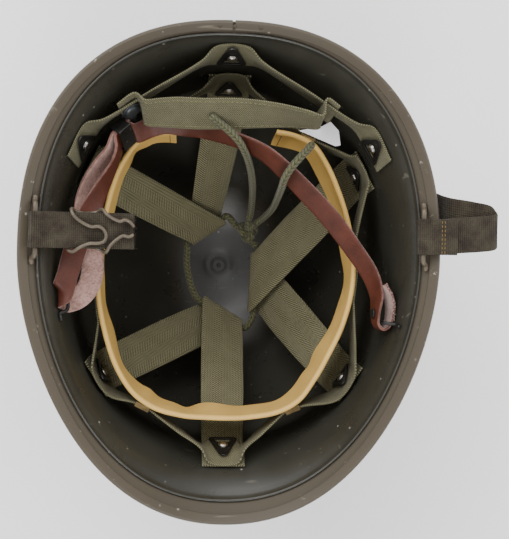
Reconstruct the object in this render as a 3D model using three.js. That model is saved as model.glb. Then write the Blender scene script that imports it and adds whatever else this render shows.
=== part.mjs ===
// A steel helmet with its liner, webbing and straps, lying on its crown with the opening up.
// Millimetres, +Z up, +Y to the rear of the helmet, the origin on the floor under the crown.
import * as THREE from "three";

// Driving sizes of the pot, measured to the outside of its sheet
const HALF_WIDTH = 117.2;
const REAR_REACH = 136.7;
const FRONT_REACH = 149;
const SIDE_DEPTH = 172;
const REAR_DEPTH = 163;
const FRONT_DEPTH = 150;
const WIDEST_BEHIND = 5;
const STEEL = 1.1;
const EDGING_COVER = 4.7;
const EDGING_SHEET = 0.7;
const EDGING_SEAM = 0.8;

// The liner inside the pot
const LINER_GAP = 0.6;
const LINER_WALL = 2.2;
const LIP_BEAD = 0.9;

// Gap between pieces that touch
const SEAT = 0.3;

// Webbing, leather, lace and wire
const WEBBING = 1.3;
const CROWN_WEB_WIDTH = 25.4;
const CROWN_SAG = 2.5;
const HEADBAND_WIDTH = 21;
const NAPE_WEB_WIDTH = 19;
const NAPE_BAND_WIDTH = 23;
const NAPE_TAB = 12;
const CHIN_WEB_WIDTH = 20;
const CHIN_WEB = 1.8;
const SWEATBAND_LEATHER = 2;
const SWEATBAND_ROLL = 3.2;
const STRAP_LEATHER = 2;
const STRAP_WIDTH = 13;
const LACE = 4.6;
const LACE_KNOT = 7;
const BALE_WIRE = 3;
const BALE_SPAN = 29;
const HOOK_WIRE = 2;

// Triangular suspension clips and their rivets
const CLIP_WIDTH = 17;
const CLIP_HEIGHT = 17;
const CLIP_SHEET = 1;
const CLIP_SLOT = 3;
const RIVET_RADIUS = 3;
const RIVET_RISE = 1.4;

// Small hardware
const SNAP_RADIUS = 6.2;
const SNAP_RISE = 3;
const BUCKLE_LENGTH = 9;
const BUCKLE_SHEET = 1.5;
const CLASP_LENGTH = 30;
const CLASP_THICKNESS = 5;
const TAG_SHEET = 0.5;

// Faces round the helmet, and round a wire, a lace and a rivet
const ROUND = 40;
const WIRE_SIDES = 6;
const LACE_SIDES = 8;
const RIVET_SIDES = 10;

// Rings of the pot from crown to rim: shares of the rim's reach on each side, and the exponent of the
// oval behind, at the sides and in front. Then their heights, as shares of the rim's depth on each side.
const RINGS = [
  { rear: 0.062, side: 0.072, front: 0.057, square: 2, cheek: 2, visor: 2 },
  { rear: 0.24, side: 0.253, front: 0.227, square: 2, cheek: 2, visor: 2 },
  { rear: 0.399, side: 0.422, front: 0.378, square: 2.05, cheek: 2, visor: 2 },
  { rear: 0.538, side: 0.569, front: 0.509, square: 2.1, cheek: 2.05, visor: 2.05 },
  { rear: 0.65, side: 0.687, front: 0.615, square: 2.15, cheek: 2.1, visor: 2.1 },
  { rear: 0.728, side: 0.77, front: 0.689, square: 2.2, cheek: 2.2, visor: 2.15 },
  { rear: 0.782, side: 0.811, front: 0.73, square: 2.2, cheek: 2.35, visor: 2.3 },
  { rear: 0.812, side: 0.834, front: 0.757, square: 2.2, cheek: 2.35, visor: 2.3 },
  { rear: 0.858, side: 0.858, front: 0.798, square: 2.25, cheek: 2.2, visor: 2.2 },
  { rear: 0.908, side: 0.889, front: 0.857, square: 2.3, cheek: 2.08, visor: 2.15 },
  { rear: 0.964, side: 0.928, front: 0.927, square: 2.33, cheek: 1.95, visor: 2.1 },
  { rear: 1, side: 1, front: 1, square: 2.33, cheek: 1.86, visor: 2.07 },
];
const RISES = [
  { rear: 0, side: 0, front: 0 },
  { rear: 0.031, side: 0.031, front: 0.031 },
  { rear: 0.096, side: 0.095, front: 0.096 },
  { rear: 0.19, side: 0.19, front: 0.191 },
  { rear: 0.31, side: 0.31, front: 0.313 },
  { rear: 0.45, side: 0.449, front: 0.453 },
  { rear: 0.589, side: 0.588, front: 0.594 },
  { rear: 0.663, side: 0.744, front: 0.707 },
  { rear: 0.773, side: 0.837, front: 0.787 },
  { rear: 0.865, side: 0.913, front: 0.867 },
  { rear: 0.969, side: 0.965, front: 0.943 },
  { rear: 1, side: 1, front: 1 },
];
const RIM = RINGS.length - 1;
const LIP = RIM - 1;

const vec = (x, y, z) => new THREE.Vector3(x, y, z);
const radians = (degrees) => (degrees * Math.PI) / 180;

// Surfaces of the pot

// One column of the ring table at any place between crown (0) and rim, on a smooth curve.
function column(name, place, rows = RINGS) {
  const at = Math.min(Math.max(place, 0), RIM);
  const low = Math.min(Math.floor(at), RIM - 1);
  const pick = (i) => rows[Math.min(Math.max(i, 0), RIM)][name];
  const before = low === 0 ? 2 * pick(0) - pick(1) : pick(low - 1);
  const after = low + 2 > RIM ? 2 * pick(RIM) - pick(RIM - 1) : pick(low + 2);
  const t = at - low;
  const slopeA = (pick(low + 1) - before) / 2;
  const slopeB = (after - pick(low)) / 2;
  const rise = pick(low + 1) - pick(low);
  const bend = 3 * rise - 2 * slopeA - slopeB;
  const ease = slopeA + slopeB - 2 * rise;
  return pick(low) + slopeA * t + bend * t * t + ease * t * t * t;
}

// A point on the outside of the pot. The turn is in degrees from the rear, and half is 1 on +X.
function potPoint(turn, place) {
  const c = Math.cos(radians(turn));
  const s = Math.sin(radians(turn));
  const behind = c > 0;
  const square = behind
    ? column("square", place)
    : column("cheek", place) + (column("visor", place) - column("cheek", place)) * c * c;
  const middle = WIDEST_BEHIND * column("side", place);
  const reach = behind
    ? column("rear", place) * REAR_REACH - middle
    : column("front", place) * FRONT_REACH + middle;
  const rise = behind
    ? column("rear", place, RISES) * REAR_DEPTH
    : column("front", place, RISES) * FRONT_DEPTH;
  return vec(
    Math.sign(s) * column("side", place) * HALF_WIDTH * Math.abs(s) ** (2 / square),
    middle + Math.sign(c) * reach * Math.abs(c) ** (2 / square),
    rise * c * c + column("side", place, RISES) * SIDE_DEPTH * s * s,
  );
}

// The directions at a place on the pot: round it, up the wall, and inwards.
function potFrame(turn, place) {
  const step = 0.5;
  const low = Math.max(place - 0.05, 0);
  const high = Math.min(place + 0.05, RIM);
  const around = potPoint(turn + step, place).sub(potPoint(turn - step, place)).normalize();
  const up = potPoint(turn, high).sub(potPoint(turn, low)).normalize();
  const inward = vec(0, 0, 0).crossVectors(up, around).normalize();
  const centre = vec(0, 0, SIDE_DEPTH).sub(potPoint(turn, place));
  if (inward.dot(centre) < 0) inward.negate();
  return { around, up, inward };
}

// A point inside the pot's sheet, by its distance from the outside.
function inside(turn, place, inset) {
  const point = potPoint(turn, place);
  if (place === 0) return point.setZ(point.z + inset);
  return point.addScaledVector(potFrame(turn, place).inward, inset);
}

const LINER_OUT = STEEL + LINER_GAP;
const LINER_IN = LINER_OUT + LINER_WALL;

// A place on the liner's inner face at a height, lifted off it: the point and its directions.
function onLiner(turn, height, lift = 0) {
  let low = 0.5;
  let high = LIP;
  for (let i = 0; i < 30; i++) {
    const middle = (low + high) / 2;
    if (inside(turn, middle, LINER_IN).z < height) low = middle;
    else high = middle;
  }
  const frame = potFrame(turn, low);
  return { ...frame, turn, height, point: inside(turn, low, LINER_IN + lift) };
}

// How far a flat piece has to stand off the hollow wall so that its edges clear it.
function standOff(turn, height, halfWidth) {
  const seat = onLiner(turn, height);
  const reach = Math.hypot(seat.point.x, seat.point.y);
  const swing = (halfWidth / reach) * (180 / Math.PI) * 1.05;
  const bow = (by) => onLiner(turn + by, height).point.sub(seat.point).dot(seat.inward);
  return SEAT + Math.max(0, bow(swing), bow(-swing));
}

// Solids

// A closed body through rings of points. Its ends are closed with the ring's own flat outline,
// unless the last ring meets the first.
function loft(rings, { ring = false, section = null } = {}) {
  const points = rings.flat();
  const count = rings[0].length;
  const index = [];
  const last = ring ? rings.length : rings.length - 1;
  for (let i = 0; i < last; i++) {
    const a = i * count;
    const b = ((i + 1) % rings.length) * count;
    for (let j = 0; j < count; j++) {
      const k = (j + 1) % count;
      index.push(a + j, b + j, b + k, a + j, b + k, a + k);
    }
  }
  if (!ring) {
    const outline = section ?? rings[0].map((_, j) => new THREE.Vector2(
      Math.cos((2 * Math.PI * j) / count),
      Math.sin((2 * Math.PI * j) / count),
    ));
    const end = (rings.length - 1) * count;
    const turned = THREE.ShapeUtils.isClockWise(outline);
    for (const face of THREE.ShapeUtils.triangulateShape(outline, [])) {
      const [a, b, c] = turned ? face.reverse() : face;
      index.push(a, b, c, end + a, end + c, end + b);
    }
  }
  return solid(points.flatMap((p) => [p.x, p.y, p.z]), index);
}

// A geometry from points and triangles, turned to face outwards.
function solid(positions, index) {
  const geometry = new THREE.BufferGeometry();
  geometry.setAttribute("position", new THREE.Float32BufferAttribute(positions, 3));
  geometry.setIndex(index);
  const corners = [0, 1, 2].map(() => vec(0, 0, 0));
  let volume = 0;
  for (let i = 0; i < index.length; i += 3) {
    corners.forEach((p, j) => p.fromArray(positions, 3 * index[i + j]));
    volume += corners[0].dot(corners[1].cross(corners[2]));
  }
  if (volume < 0) {
    for (let i = 0; i < index.length; i += 3) {
      [index[i + 1], index[i + 2]] = [index[i + 2], index[i + 1]];
    }
    geometry.setIndex(index);
  }
  return geometry;
}

// A flat strap through stations. Each has its middle, the direction across the strap, and its width.
function strap(stations, thickness, { ring = false } = {}) {
  const count = stations.length;
  const rings = stations.map((station, i) => {
    const next = stations[ring ? (i + 1) % count : Math.min(i + 1, count - 1)].at;
    const before = stations[ring ? (i + count - 1) % count : Math.max(i - 1, 0)].at;
    const along = station.along ?? next.clone().sub(before);
    const across = station.across.clone().normalize().multiplyScalar(station.width / 2);
    const face = across.clone().cross(along);
    const through = station.through ?? face;
    const half = through.clone().setLength(((through.dot(face) < 0 ? -1 : 1) * thickness) / 2);
    return [
      station.at.clone().add(across).add(half),
      station.at.clone().sub(across).add(half),
      station.at.clone().sub(across).sub(half),
      station.at.clone().add(across).sub(half),
    ];
  });
  return loft(rings, { ring });
}

// A round wire or cord along a smooth curve through points.
function tube(points, diameter, sides, steps) {
  const shape = new THREE.Shape();
  for (let i = 0; i < sides; i++) {
    const angle = (2 * Math.PI * i) / sides;
    const x = (diameter / 2) * Math.cos(angle);
    const y = (diameter / 2) * Math.sin(angle);
    if (i === 0) shape.moveTo(x, y);
    else shape.lineTo(x, y);
  }
  const extrudePath = new THREE.CatmullRomCurve3(points, false, "centripetal");
  return new THREE.ExtrudeGeometry(shape, { steps, extrudePath, bevelEnabled: false, curveSegments: 1 });
}

// A flat plate from an outline in the plane of two directions, as thick as given along the third.
function plate(outline, holes, thickness, frame) {
  const shape = new THREE.Shape(outline.map(([x, y]) => new THREE.Vector2(x, y)));
  for (const hole of holes) {
    shape.holes.push(new THREE.Path(hole.map(([x, y]) => new THREE.Vector2(x, y))));
  }
  const settings = { depth: thickness, bevelEnabled: false, curveSegments: 3 };
  const geometry = new THREE.ExtrudeGeometry(shape, settings);
  const basis = new THREE.Matrix4().makeBasis(frame.x, frame.y, frame.z).setPosition(frame.point);
  return geometry.applyMatrix4(basis);
}

// The group that is the helmet

const helmet = new THREE.Group();
const FINISHES = {
  steel: { color: 0x696052, roughness: 0.6, metalness: 0.35 },
  edging: { color: 0x73695a, roughness: 0.5, metalness: 0.4 },
  liner: { color: 0x3a3830, roughness: 0.35, metalness: 0 },
  webbing: { color: 0x74755a, roughness: 0.95, metalness: 0 },
  lace: { color: 0x55573c, roughness: 0.95, metalness: 0 },
  strapWeb: { color: 0x5c5345, roughness: 0.95, metalness: 0 },
  tan: { color: 0xe0b878, roughness: 0.5, metalness: 0 },
  brown: { color: 0x6b382b, roughness: 0.45, metalness: 0 },
  black: { color: 0x1c1a19, roughness: 0.35, metalness: 0.5 },
  nickel: { color: 0xb9bab8, roughness: 0.25, metalness: 1 },
  wire: { color: 0x8f8875, roughness: 0.5, metalness: 0.4 },
  white: { color: 0xe8e6ea, roughness: 0.8, metalness: 0 },
  cap: { color: 0x4b5055, roughness: 0.45, metalness: 0.3 },
  brass: { color: 0xa5834a, roughness: 0.3, metalness: 1 },
};

// Positions are whole thousandths of a millimetre, so corners shared by faces stay one point.
function add(name, geometry, finish) {
  const places = geometry.attributes.position;
  places.array.forEach((value, i) => {
    places.array[i] = Math.round(value * 1000) / 1000;
  });
  const mesh = new THREE.Mesh(geometry, new THREE.MeshStandardMaterial(FINISHES[finish]));
  mesh.name = name;
  helmet.add(mesh);
  return mesh;
}

// Pot and its edging

// A bowl between two insets of the pot's surface, from the crown up to a ring.
function ringAt(place, inset) {
  return Array.from({ length: ROUND }, (_, j) => inside((360 * j) / ROUND, place, inset));
}

function bowl(top, outer, inner) {
  const rings = [];
  for (let i = 0; i <= top; i++) rings.push(ringAt(i, outer));
  for (let i = top; i >= 0; i--) rings.push(ringAt(i, inner));
  return loft(rings);
}

// The rim's edge at a turn: the middle of the sheet there, outwards along it, and inwards off it.
function rimEdge(turn) {
  const at = inside(turn, RIM, STEEL / 2);
  const out = at.clone().sub(inside(turn, RIM - 1, STEEL / 2)).normalize();
  const inward = vec(0, 0, 0).crossVectors(out, potFrame(turn, RIM - 0.1).around).normalize();
  if (inward.dot(at) > 0) inward.negate();
  return { at, out, inward };
}

function edging() {
  const near = STEEL / 2 + SEAT;
  const far = near + EDGING_SHEET;
  const nose = SEAT + EDGING_SHEET;
  const section = [
    [-EDGING_COVER, far],
    [0.1, far],
    [nose, near * 0.6],
    [nose, -near * 0.6],
    [0.1, -far],
    [-EDGING_COVER, -far],
    [-EDGING_COVER, -near],
    [SEAT, -near],
    [SEAT, near],
    [-EDGING_COVER, near],
  ];
  const seam = (EDGING_SEAM / 2 / REAR_REACH) * (180 / Math.PI);
  const rings = [];
  for (let i = 0; i <= ROUND; i++) {
    const turn = i === 0 ? seam : i === ROUND ? 360 - seam : (360 * i) / ROUND;
    const edge = rimEdge(turn);
    rings.push(section.map(([out, off]) =>
      edge.at.clone().addScaledVector(edge.out, out).addScaledVector(edge.inward, off)));
  }
  return loft(rings, { section: section.map(([x, y]) => new THREE.Vector2(x, y)) });
}

// The liner ends in a rounded lip, a little thicker than its wall.
function linerBody() {
  const rings = [];
  for (let i = 0; i <= LIP; i++) rings.push(ringAt(i, LINER_OUT));
  rings.push(ringAt(LIP + 0.08, LINER_OUT + LINER_WALL / 2 + LIP_BEAD / 2));
  rings.push(ringAt(LIP, LINER_IN + LIP_BEAD));
  rings.push(ringAt(LIP - 0.25, LINER_IN));
  for (let i = LIP - 1; i >= 0; i--) rings.push(ringAt(i, LINER_IN));
  return loft(rings);
}

add("steel_shell", bowl(RIM, 0, STEEL), "steel");
add("rim_band", edging(), "edging");
add("liner", linerBody(), "liner");

// Clips on the liner

// Rivet heights are shares of the side depth; the turn is in degrees from the rear.
const SUSPENSION_CLIPS = [
  { name: "rear_centre", turn: 0, height: 0.67 },
  { name: "rear_right", turn: 61, height: 0.663 },
  { name: "front_right", turn: 128, height: 0.663 },
  { name: "front_centre", turn: 180, height: 0.674 },
  { name: "front_left", turn: 233, height: 0.663 },
  { name: "rear_left", turn: 299, height: 0.663 },
];
const NAPE_CLIPS = [
  { name: "left", turn: 301, height: 0.86 },
  { name: "centre", turn: 0, height: 0.847 },
  { name: "right", turn: 58, height: 0.86 },
];

// What the wall's flat facets stand inwards of its curve.
const WALL_FACET = 0.3;

// Layers from the wall: one webbing under a nape clip, or the crown strap and then the headband
// under a suspension clip. The last layer lies in the plane of the clip.
function layers(clip) {
  const crown = SUSPENSION_CLIPS.includes(clip);
  const height = clip.height * SIDE_DEPTH;
  const rises = crown ? [-0.42, 0, 0.7] : [0];
  const reach = crown ? CROWN_WEB_WIDTH / 2 : NAPE_TAB;
  const offs = rises.map((rise) => standOff(clip.turn, height + rise * CLIP_HEIGHT, reach));
  const first = Math.max(...offs) + WALL_FACET + WEBBING / 2;
  const last = crown ? first + WEBBING + SEAT : first;
  return { height, first, last, sheet: last + WEBBING / 2 + SEAT };
}

// The clip's own plane: its middle on the layer below it, round the wall, up it, and inwards.
function clipPlane(clip, lift) {
  const seat = onLiner(clip.turn, clip.height * SIDE_DEPTH, lift);
  return { ...seat, up: vec(0, 0, 0).crossVectors(seat.inward, seat.around) };
}

function clipPlate(clip) {
  const { sheet } = layers(clip);
  const seat = clipPlane(clip, sheet);
  const half = CLIP_WIDTH / 2;
  const foot = -CLIP_HEIGHT * 0.45;
  const tip = CLIP_HEIGHT * 0.55;
  const outline = [
    [-half * 0.86, foot],
    [half * 0.86, foot],
    [half, foot + half * 0.14],
    [half * 0.94, foot + half * 0.36],
    [half * 0.3, tip - half * 0.14],
    [half * 0.14, tip],
    [-half * 0.14, tip],
    [-half * 0.3, tip - half * 0.14],
    [-half * 0.94, foot + half * 0.36],
    [-half, foot + half * 0.14],
  ];
  const slot = [
    [-half * 0.6, foot + 1.6],
    [half * 0.6, foot + 1.6],
    [half * 0.45, foot + 1.6 + CLIP_SLOT],
    [-half * 0.45, foot + 1.6 + CLIP_SLOT],
  ].map(([x, y]) => [x, y * 0.98]);
  return plate(outline, [slot.reverse()], CLIP_SHEET, {
    x: seat.around,
    y: seat.up,
    z: seat.inward,
    point: seat.point,
  });
}

// A domed head that stands on a point, its axis along a direction.
function domedHead(point, axis, radius, rise) {
  const profile = [
    [0, 0],
    [radius, 0],
    [radius * 0.9, rise * 0.5],
    [radius * 0.5, rise * 0.9],
    [0, rise],
  ].map(([x, y]) => new THREE.Vector2(x, y));
  const turn = new THREE.Quaternion().setFromUnitVectors(vec(0, 1, 0), axis.clone().normalize());
  const head = new THREE.LatheGeometry(profile, RIVET_SIDES).applyQuaternion(turn);
  return head.translate(point.x, point.y, point.z);
}

function clipRivet(clip) {
  const seat = clipPlane(clip, layers(clip).sheet + CLIP_SHEET + SEAT);
  return domedHead(seat.point, seat.inward, RIVET_RADIUS, RIVET_RISE);
}

for (const clip of SUSPENSION_CLIPS) {
  add(`clip_${clip.name}`, clipPlate(clip), "black");
  add(`rivet_${clip.name}`, clipRivet(clip), "nickel");
}
for (const clip of NAPE_CLIPS) {
  add(`nape_clip_${clip.name}`, clipPlate(clip), "black");
  add(`nape_rivet_${clip.name}`, clipRivet(clip), "nickel");
}

// Places inside the helmet

// A place by its shares of the half width, of the reach to the rear or front, and of the side depth.
function spot(across, back, up) {
  return vec(across * HALF_WIDTH, back * (back > 0 ? REAR_REACH : FRONT_REACH), up * SIDE_DEPTH);
}

// Crown bands: each is one webbing folded round the lace, with two legs that run out to clips.
// The fold runs from one end to the other at the lace's height; the first leg lies on top.
const LACE_UP = 0.256;
const CROWN_BANDS = [
  { name: "rear", from: [-0.176, 0.113], to: [0.012, 0.222], legs: ["rear_left", "rear_centre"] },
  { name: "front", from: [-0.108, -0.161], to: [0.116, -0.269], legs: ["front_centre", "front_left"] },
  { name: "right", from: [0.205, 0.06], to: [0.19, -0.208], legs: ["rear_right", "front_right"] },
];
const FOLD_RADIUS = LACE / 2 + 2 * SEAT + WEBBING / 2;

function foldOf(band) {
  const from = spot(band.from[0], band.from[1], LACE_UP);
  const to = spot(band.to[0], band.to[1], LACE_UP);
  const clips = band.legs.map((name) => SUSPENSION_CLIPS.find((clip) => clip.name === name));
  const seats = clips.map((clip) => onLiner(clip.turn, clip.height * SIDE_DEPTH - CLIP_HEIGHT / 2));
  const middle = from.clone().add(to).multiplyScalar(0.5);
  const run = to.clone().sub(from).normalize();
  const out = seats[0].point.clone().add(seats[1].point).multiplyScalar(0.5).sub(middle);
  out.addScaledVector(run, -out.dot(run)).normalize();
  const up = vec(0, 0, 0).crossVectors(out, run).normalize();
  if (up.z < 0) up.negate();
  return { from, to, middle, run, out, up, clips };
}

// One leg from under its clip to the fold, its cross direction kept along the fold's run.
function crownLeg(fold, clip, side) {
  const { height, first } = layers(clip);
  const length = fold.from.distanceTo(fold.to);
  const end = fold.middle.clone().addScaledVector(fold.up, side * FOLD_RADIUS);
  const seatAt = (z, lift) => onLiner(clip.turn, z, lift);
  const seats = [0.7, 0.14, -0.42].map((rise) => seatAt(height + CLIP_HEIGHT * rise, first));
  const foot = seats[2];
  const leave = seatAt(height - CLIP_HEIGHT * 0.62, first + 1.2);
  const way = fold.run.dot(foot.around) < 0 ? -1 : 1;
  const along = (seat) => seat.around.clone().multiplyScalar(way);
  const stations = seats.map((seat) => ({
    at: seat.point,
    across: along(seat),
    through: seat.inward,
    width: CROWN_WEB_WIDTH,
  }));
  const steps = 5;
  for (let i = 0; i < steps; i++) {
    const t = i / steps;
    const at = leave.point.clone().lerp(end, t);
    at.z -= CROWN_SAG * 4 * t * (1 - t);
    stations.push({
      at,
      across: along(leave).lerp(fold.run, t).normalize(),
      width: CROWN_WEB_WIDTH + (length - CROWN_WEB_WIDTH) * t,
    });
  }
  return stations;
}

// The fold: half a turn round the inner side of the lace, from above it to below it.
function foldTurn(fold) {
  const width = fold.from.distanceTo(fold.to);
  const stations = [];
  for (let i = 0; i <= 6; i++) {
    const angle = radians(90 + i * 30);
    const at = fold.middle.clone()
      .addScaledVector(fold.out, FOLD_RADIUS * Math.cos(angle))
      .addScaledVector(fold.up, FOLD_RADIUS * Math.sin(angle));
    stations.push({ at, across: fold.run, width });
  }
  return stations;
}

for (const band of CROWN_BANDS) {
  const fold = foldOf(band);
  const [over, under] = fold.clips.map((clip, i) => crownLeg(fold, clip, i === 0 ? 1 : -1));
  const stations = [...over, ...foldTurn(fold), ...under.reverse()];
  add(`crown_band_${band.name}`, strap(stations, WEBBING), "webbing");
}

// Lace: it runs through the three folds and is knotted at the rear right.
const folds = Object.fromEntries(CROWN_BANDS.map((band) => [band.name, foldOf(band)]));
const KNOT = spot(0.148, 0.163, LACE_UP + 0.012);
const fromKnot = (x, y, z) => KNOT.clone().add(vec(x, y, z).setLength(LACE_KNOT + 0.9));
const beside = (fold, end, out, run) =>
  fold[end].clone().addScaledVector(fold.out, out).addScaledVector(fold.run, run);
const LACE_RING = [
  fromKnot(0.4, -1, -0.1),
  beside(folds.right, "from", 0, -3),
  beside(folds.right, "from", 0, 6),
  beside(folds.right, "to", 0, -6),
  beside(folds.right, "to", -0.6, 3.5),
  beside(folds.front, "to", -0.6, 3.5),
  beside(folds.front, "to", 0, -6),
  beside(folds.front, "from", 0, 6),
  beside(folds.front, "from", 0, -3),
  spot(-0.176, -0.062, LACE_UP),
  spot(-0.19, 0.014, LACE_UP),
  spot(-0.189, 0.068, LACE_UP),
  beside(folds.rear, "from", 0, -2),
  beside(folds.rear, "from", 0, 6),
  beside(folds.rear, "to", 0, -6),
  beside(folds.rear, "to", 0, 2.5),
  fromKnot(-1, 0.4, -0.1),
];
add("lace_ring", tube(LACE_RING, LACE, LACE_SIDES, 38), "lace");
const knot = new THREE.SphereGeometry(LACE_KNOT, 10, 7).scale(1, 1, 0.72);
add("lace_knot", knot.translate(KNOT.x, KNOT.y, KNOT.z), "lace");

// The lace's two free ends lie on the chin strap and on the nape band. The points are as they fall.
const LACE_END_A = [
  [17.4, 28.6, 51.3],
  [18.6, 34.0, 54.0],
  [18.7, 39.9, 63.0],
  [18.1, 45.3, 76.0],
  [16.7, 50.0, 94.0],
  [14.6, 55.2, 113.0],
  [11.8, 60.4, 130.5],
  [8.5, 65.5, 142.5],
  [5.1, 70.4, 148.0],
  [1.3, 74.4, 149.4],
  [-3.0, 78.1, 149.6],
  [-7.6, 81.4, 151.2],
  [-12.4, 84.7, 154.0],
];
const LACE_END_B = [
  [21.6, 26.6, 51.6],
  [26.0, 30.2, 54.5],
  [29.4, 33.5, 63.0],
  [31.6, 37.1, 76.0],
  [32.1, 40.6, 92.0],
  [31.4, 43.2, 118.0],
  [30.9, 45.9, 140.0],
  [31.4, 49.2, 146.5],
  [33.5, 53.7, 150.0],
  [36.6, 58.1, 151.6],
  [40.4, 62.5, 150.8],
  [44.5, 66.9, 148.2],
  [48.2, 71.3, 144.6],
];
const byHand = (rows) => rows.map(([x, y, z]) => vec(x, y, z));
add("lace_end_a", tube(byHand(LACE_END_A), LACE, LACE_SIDES, 22), "lace");
add("lace_end_b", tube(byHand(LACE_END_B), LACE, LACE_SIDES, 22), "lace");

// Sweatband

// Its path from the left rear end, round the front, to the right rear end. Across and back are shares
// of the sweatband's own half width and length; lean is how far its lower edge sits inwards.
const SWEAT_HALF_WIDTH = 75;
const SWEAT_REAR = 78;
const SWEAT_FRONT = 90;
const SWEAT_TOP = 134;
const SWEAT_HEIGHT = 28;
const SWEATBAND = [
  { across: -0.42, back: 0.985, lean: 6.5, turn: 100 },
  { across: -0.52, back: 0.985, lean: 7, turn: 98 },
  { across: -0.64, back: 0.965, lean: 6.5, turn: 118 },
  { across: -0.75, back: 0.87, lean: 4, turn: 140 },
  { across: -0.865, back: 0.68, lean: 3.5, turn: 158 },
  { across: -0.955, back: 0.38, lean: 4, turn: 168 },
  { across: -1, back: 0.08, lean: 4, turn: 176 },
  { across: -1.005, back: -0.2, lean: 3, turn: 182 },
  { across: -0.93, back: -0.51, lean: 4.5, turn: 202 },
  { across: -0.835, back: -0.71, lean: 5, turn: 216 },
  { across: -0.71, back: -0.86, lean: 8.5, turn: 234 },
  { across: -0.56, back: -0.945, lean: 6.5, turn: 252 },
  { across: -0.36, back: -0.99, lean: 6, turn: 262 },
  { across: -0.05, back: -1.01, lean: 8.5, turn: 270 },
  { across: 0.2, back: -1, lean: 7, turn: 274 },
  { across: 0.42, back: -0.965, lean: 6, turn: 282 },
  { across: 0.585, back: -0.885, lean: 8, turn: 300 },
  { across: 0.7, back: -0.755, lean: 6, turn: 322 },
  { across: 0.82, back: -0.575, lean: 6, turn: 332 },
  { across: 0.92, back: -0.39, lean: 5, turn: 340 },
  { across: 0.985, back: -0.18, lean: 3, turn: 350 },
  { across: 1, back: 0.06, lean: 4, turn: 3 },
  { across: 0.955, back: 0.32, lean: 5, turn: 14 },
  { across: 0.875, back: 0.56, lean: 6, turn: 20 },
  { across: 0.775, back: 0.77, lean: 8.5, turn: 30 },
  { across: 0.66, back: 0.92, lean: 9, turn: 52 },
  { across: 0.5, back: 0.99, lean: 8, turn: 74 },
  { across: 0.37, back: 1.01, lean: 6.5, turn: 78 },
];

// The sweatband's wall at a row: its top, and the directions outwards and down the leather.
function sweatStation(row) {
  const back = row.back * (row.back > 0 ? SWEAT_REAR : SWEAT_FRONT);
  const at = vec(row.across * SWEAT_HALF_WIDTH, back, SWEAT_TOP);
  const out = vec(Math.cos(radians(row.turn)), Math.sin(radians(row.turn)), 0);
  const down = vec(0, 0, -SWEAT_HEIGHT).addScaledVector(out, -row.lean).normalize();
  return { at, out, down };
}

function sweatband() {
  const half = SWEATBAND_LEATHER / 2;
  const roll = SWEATBAND_ROLL / 2;
  const section = [
    [half, SWEAT_HEIGHT],
    [half, roll * 2],
    [roll, roll * 1.4],
    [roll * 0.8, roll * 0.3],
    [0, 0],
    [-roll * 0.8, roll * 0.3],
    [-roll, roll * 1.4],
    [-half, roll * 2],
    [-half, SWEAT_HEIGHT],
  ];
  const rings = SWEATBAND.map((row) => {
    const { at, out, down } = sweatStation(row);
    return section.map(([x, y]) => at.clone().addScaledVector(out, x).addScaledVector(down, y));
  });
  return loft(rings, { section: section.map(([x, y]) => new THREE.Vector2(x, y)) });
}
add("sweatband", sweatband(), "tan");

// Headband: a ring of webbing on edge, round the clips and past the sweatband's metal clips.
const SWEAT_CLIP_SHEET = 0.6;
const SWEAT_CLIP_LENGTH = 9;
const SWEAT_CLIP_DEPTH = 15;
const SWEAT_CLIPS = [
  { name: "front_left", place: 10.55 },
  { name: "front_right", place: 15.6 },
  { name: "rear_right", place: 25.35 },
];

// The sweatband's wall at any place along its table.
function sweatAt(place) {
  const low = Math.floor(place);
  const a = SWEATBAND[low];
  const b = SWEATBAND[low + 1];
  const t = place - low;
  const swing = ((b.turn - a.turn + 540) % 360) - 180;
  return sweatStation({
    across: a.across + (b.across - a.across) * t,
    back: a.back + (b.back - a.back) * t,
    lean: a.lean + (b.lean - a.lean) * t,
    turn: a.turn + swing * t,
  });
}

// Where the headband passes outside the sweatband, a gap away from its roll.
const HEADBAND_UP = 0.698;
function besideSweatband(place, extra) {
  const wall = sweatAt(place);
  const off = SWEATBAND_ROLL / 2 + SEAT + WEBBING / 2 + extra;
  const at = wall.at.clone().addScaledVector(wall.out, off).setZ(HEADBAND_UP * SIDE_DEPTH);
  return { at, across: vec(0, 0, 1), width: HEADBAND_WIDTH, out: wall.out };
}

function headbandAtClip(name) {
  const clip = SUSPENSION_CLIPS.find((one) => one.name === name);
  const seat = clipPlane(clip, layers(clip).last);
  const rise = (HEADBAND_UP - clip.height) * SIDE_DEPTH;
  return [-1, 1].map((side) => ({
    at: seat.point.clone()
      .addScaledVector(seat.around, side * CLIP_WIDTH * 0.54)
      .addScaledVector(seat.up, rise),
    across: seat.up,
    through: seat.inward,
    width: HEADBAND_WIDTH,
  }));
}

const clipGap = SWEAT_CLIP_SHEET + SEAT;
function headband() {
  const passing = (name) => {
    const station = besideSweatband(SWEAT_CLIPS.find((one) => one.name === name).place, clipGap);
    const run = vec(0, 0, 0).crossVectors(station.out, vec(0, 0, 1));
    return [-1, 1].map((side) => ({
      ...station,
      at: station.at.clone().addScaledVector(run, side * (SWEAT_CLIP_LENGTH / 2 + 1)),
      through: station.out,
    }));
  };
  const beside = (...places) => places.map((place) => besideSweatband(place, 0.4));
  // The ring runs clockwise seen from above, from the rear clip to the right.
  const stations = [
    ...headbandAtClip("rear_centre"),
    ...passing("rear_right"),
    ...headbandAtClip("rear_right"),
    ...beside(21.5, 20.5, 19.8),
    ...headbandAtClip("front_right"),
    ...passing("front_right"),
    ...headbandAtClip("front_centre"),
    ...passing("front_left"),
    ...headbandAtClip("front_left"),
    ...beside(7.6, 6.6, 5.6),
    ...headbandAtClip("rear_left"),
  ];
  return strap(stations, WEBBING, { ring: true });
}
add("headband", headband(), "webbing");

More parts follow.
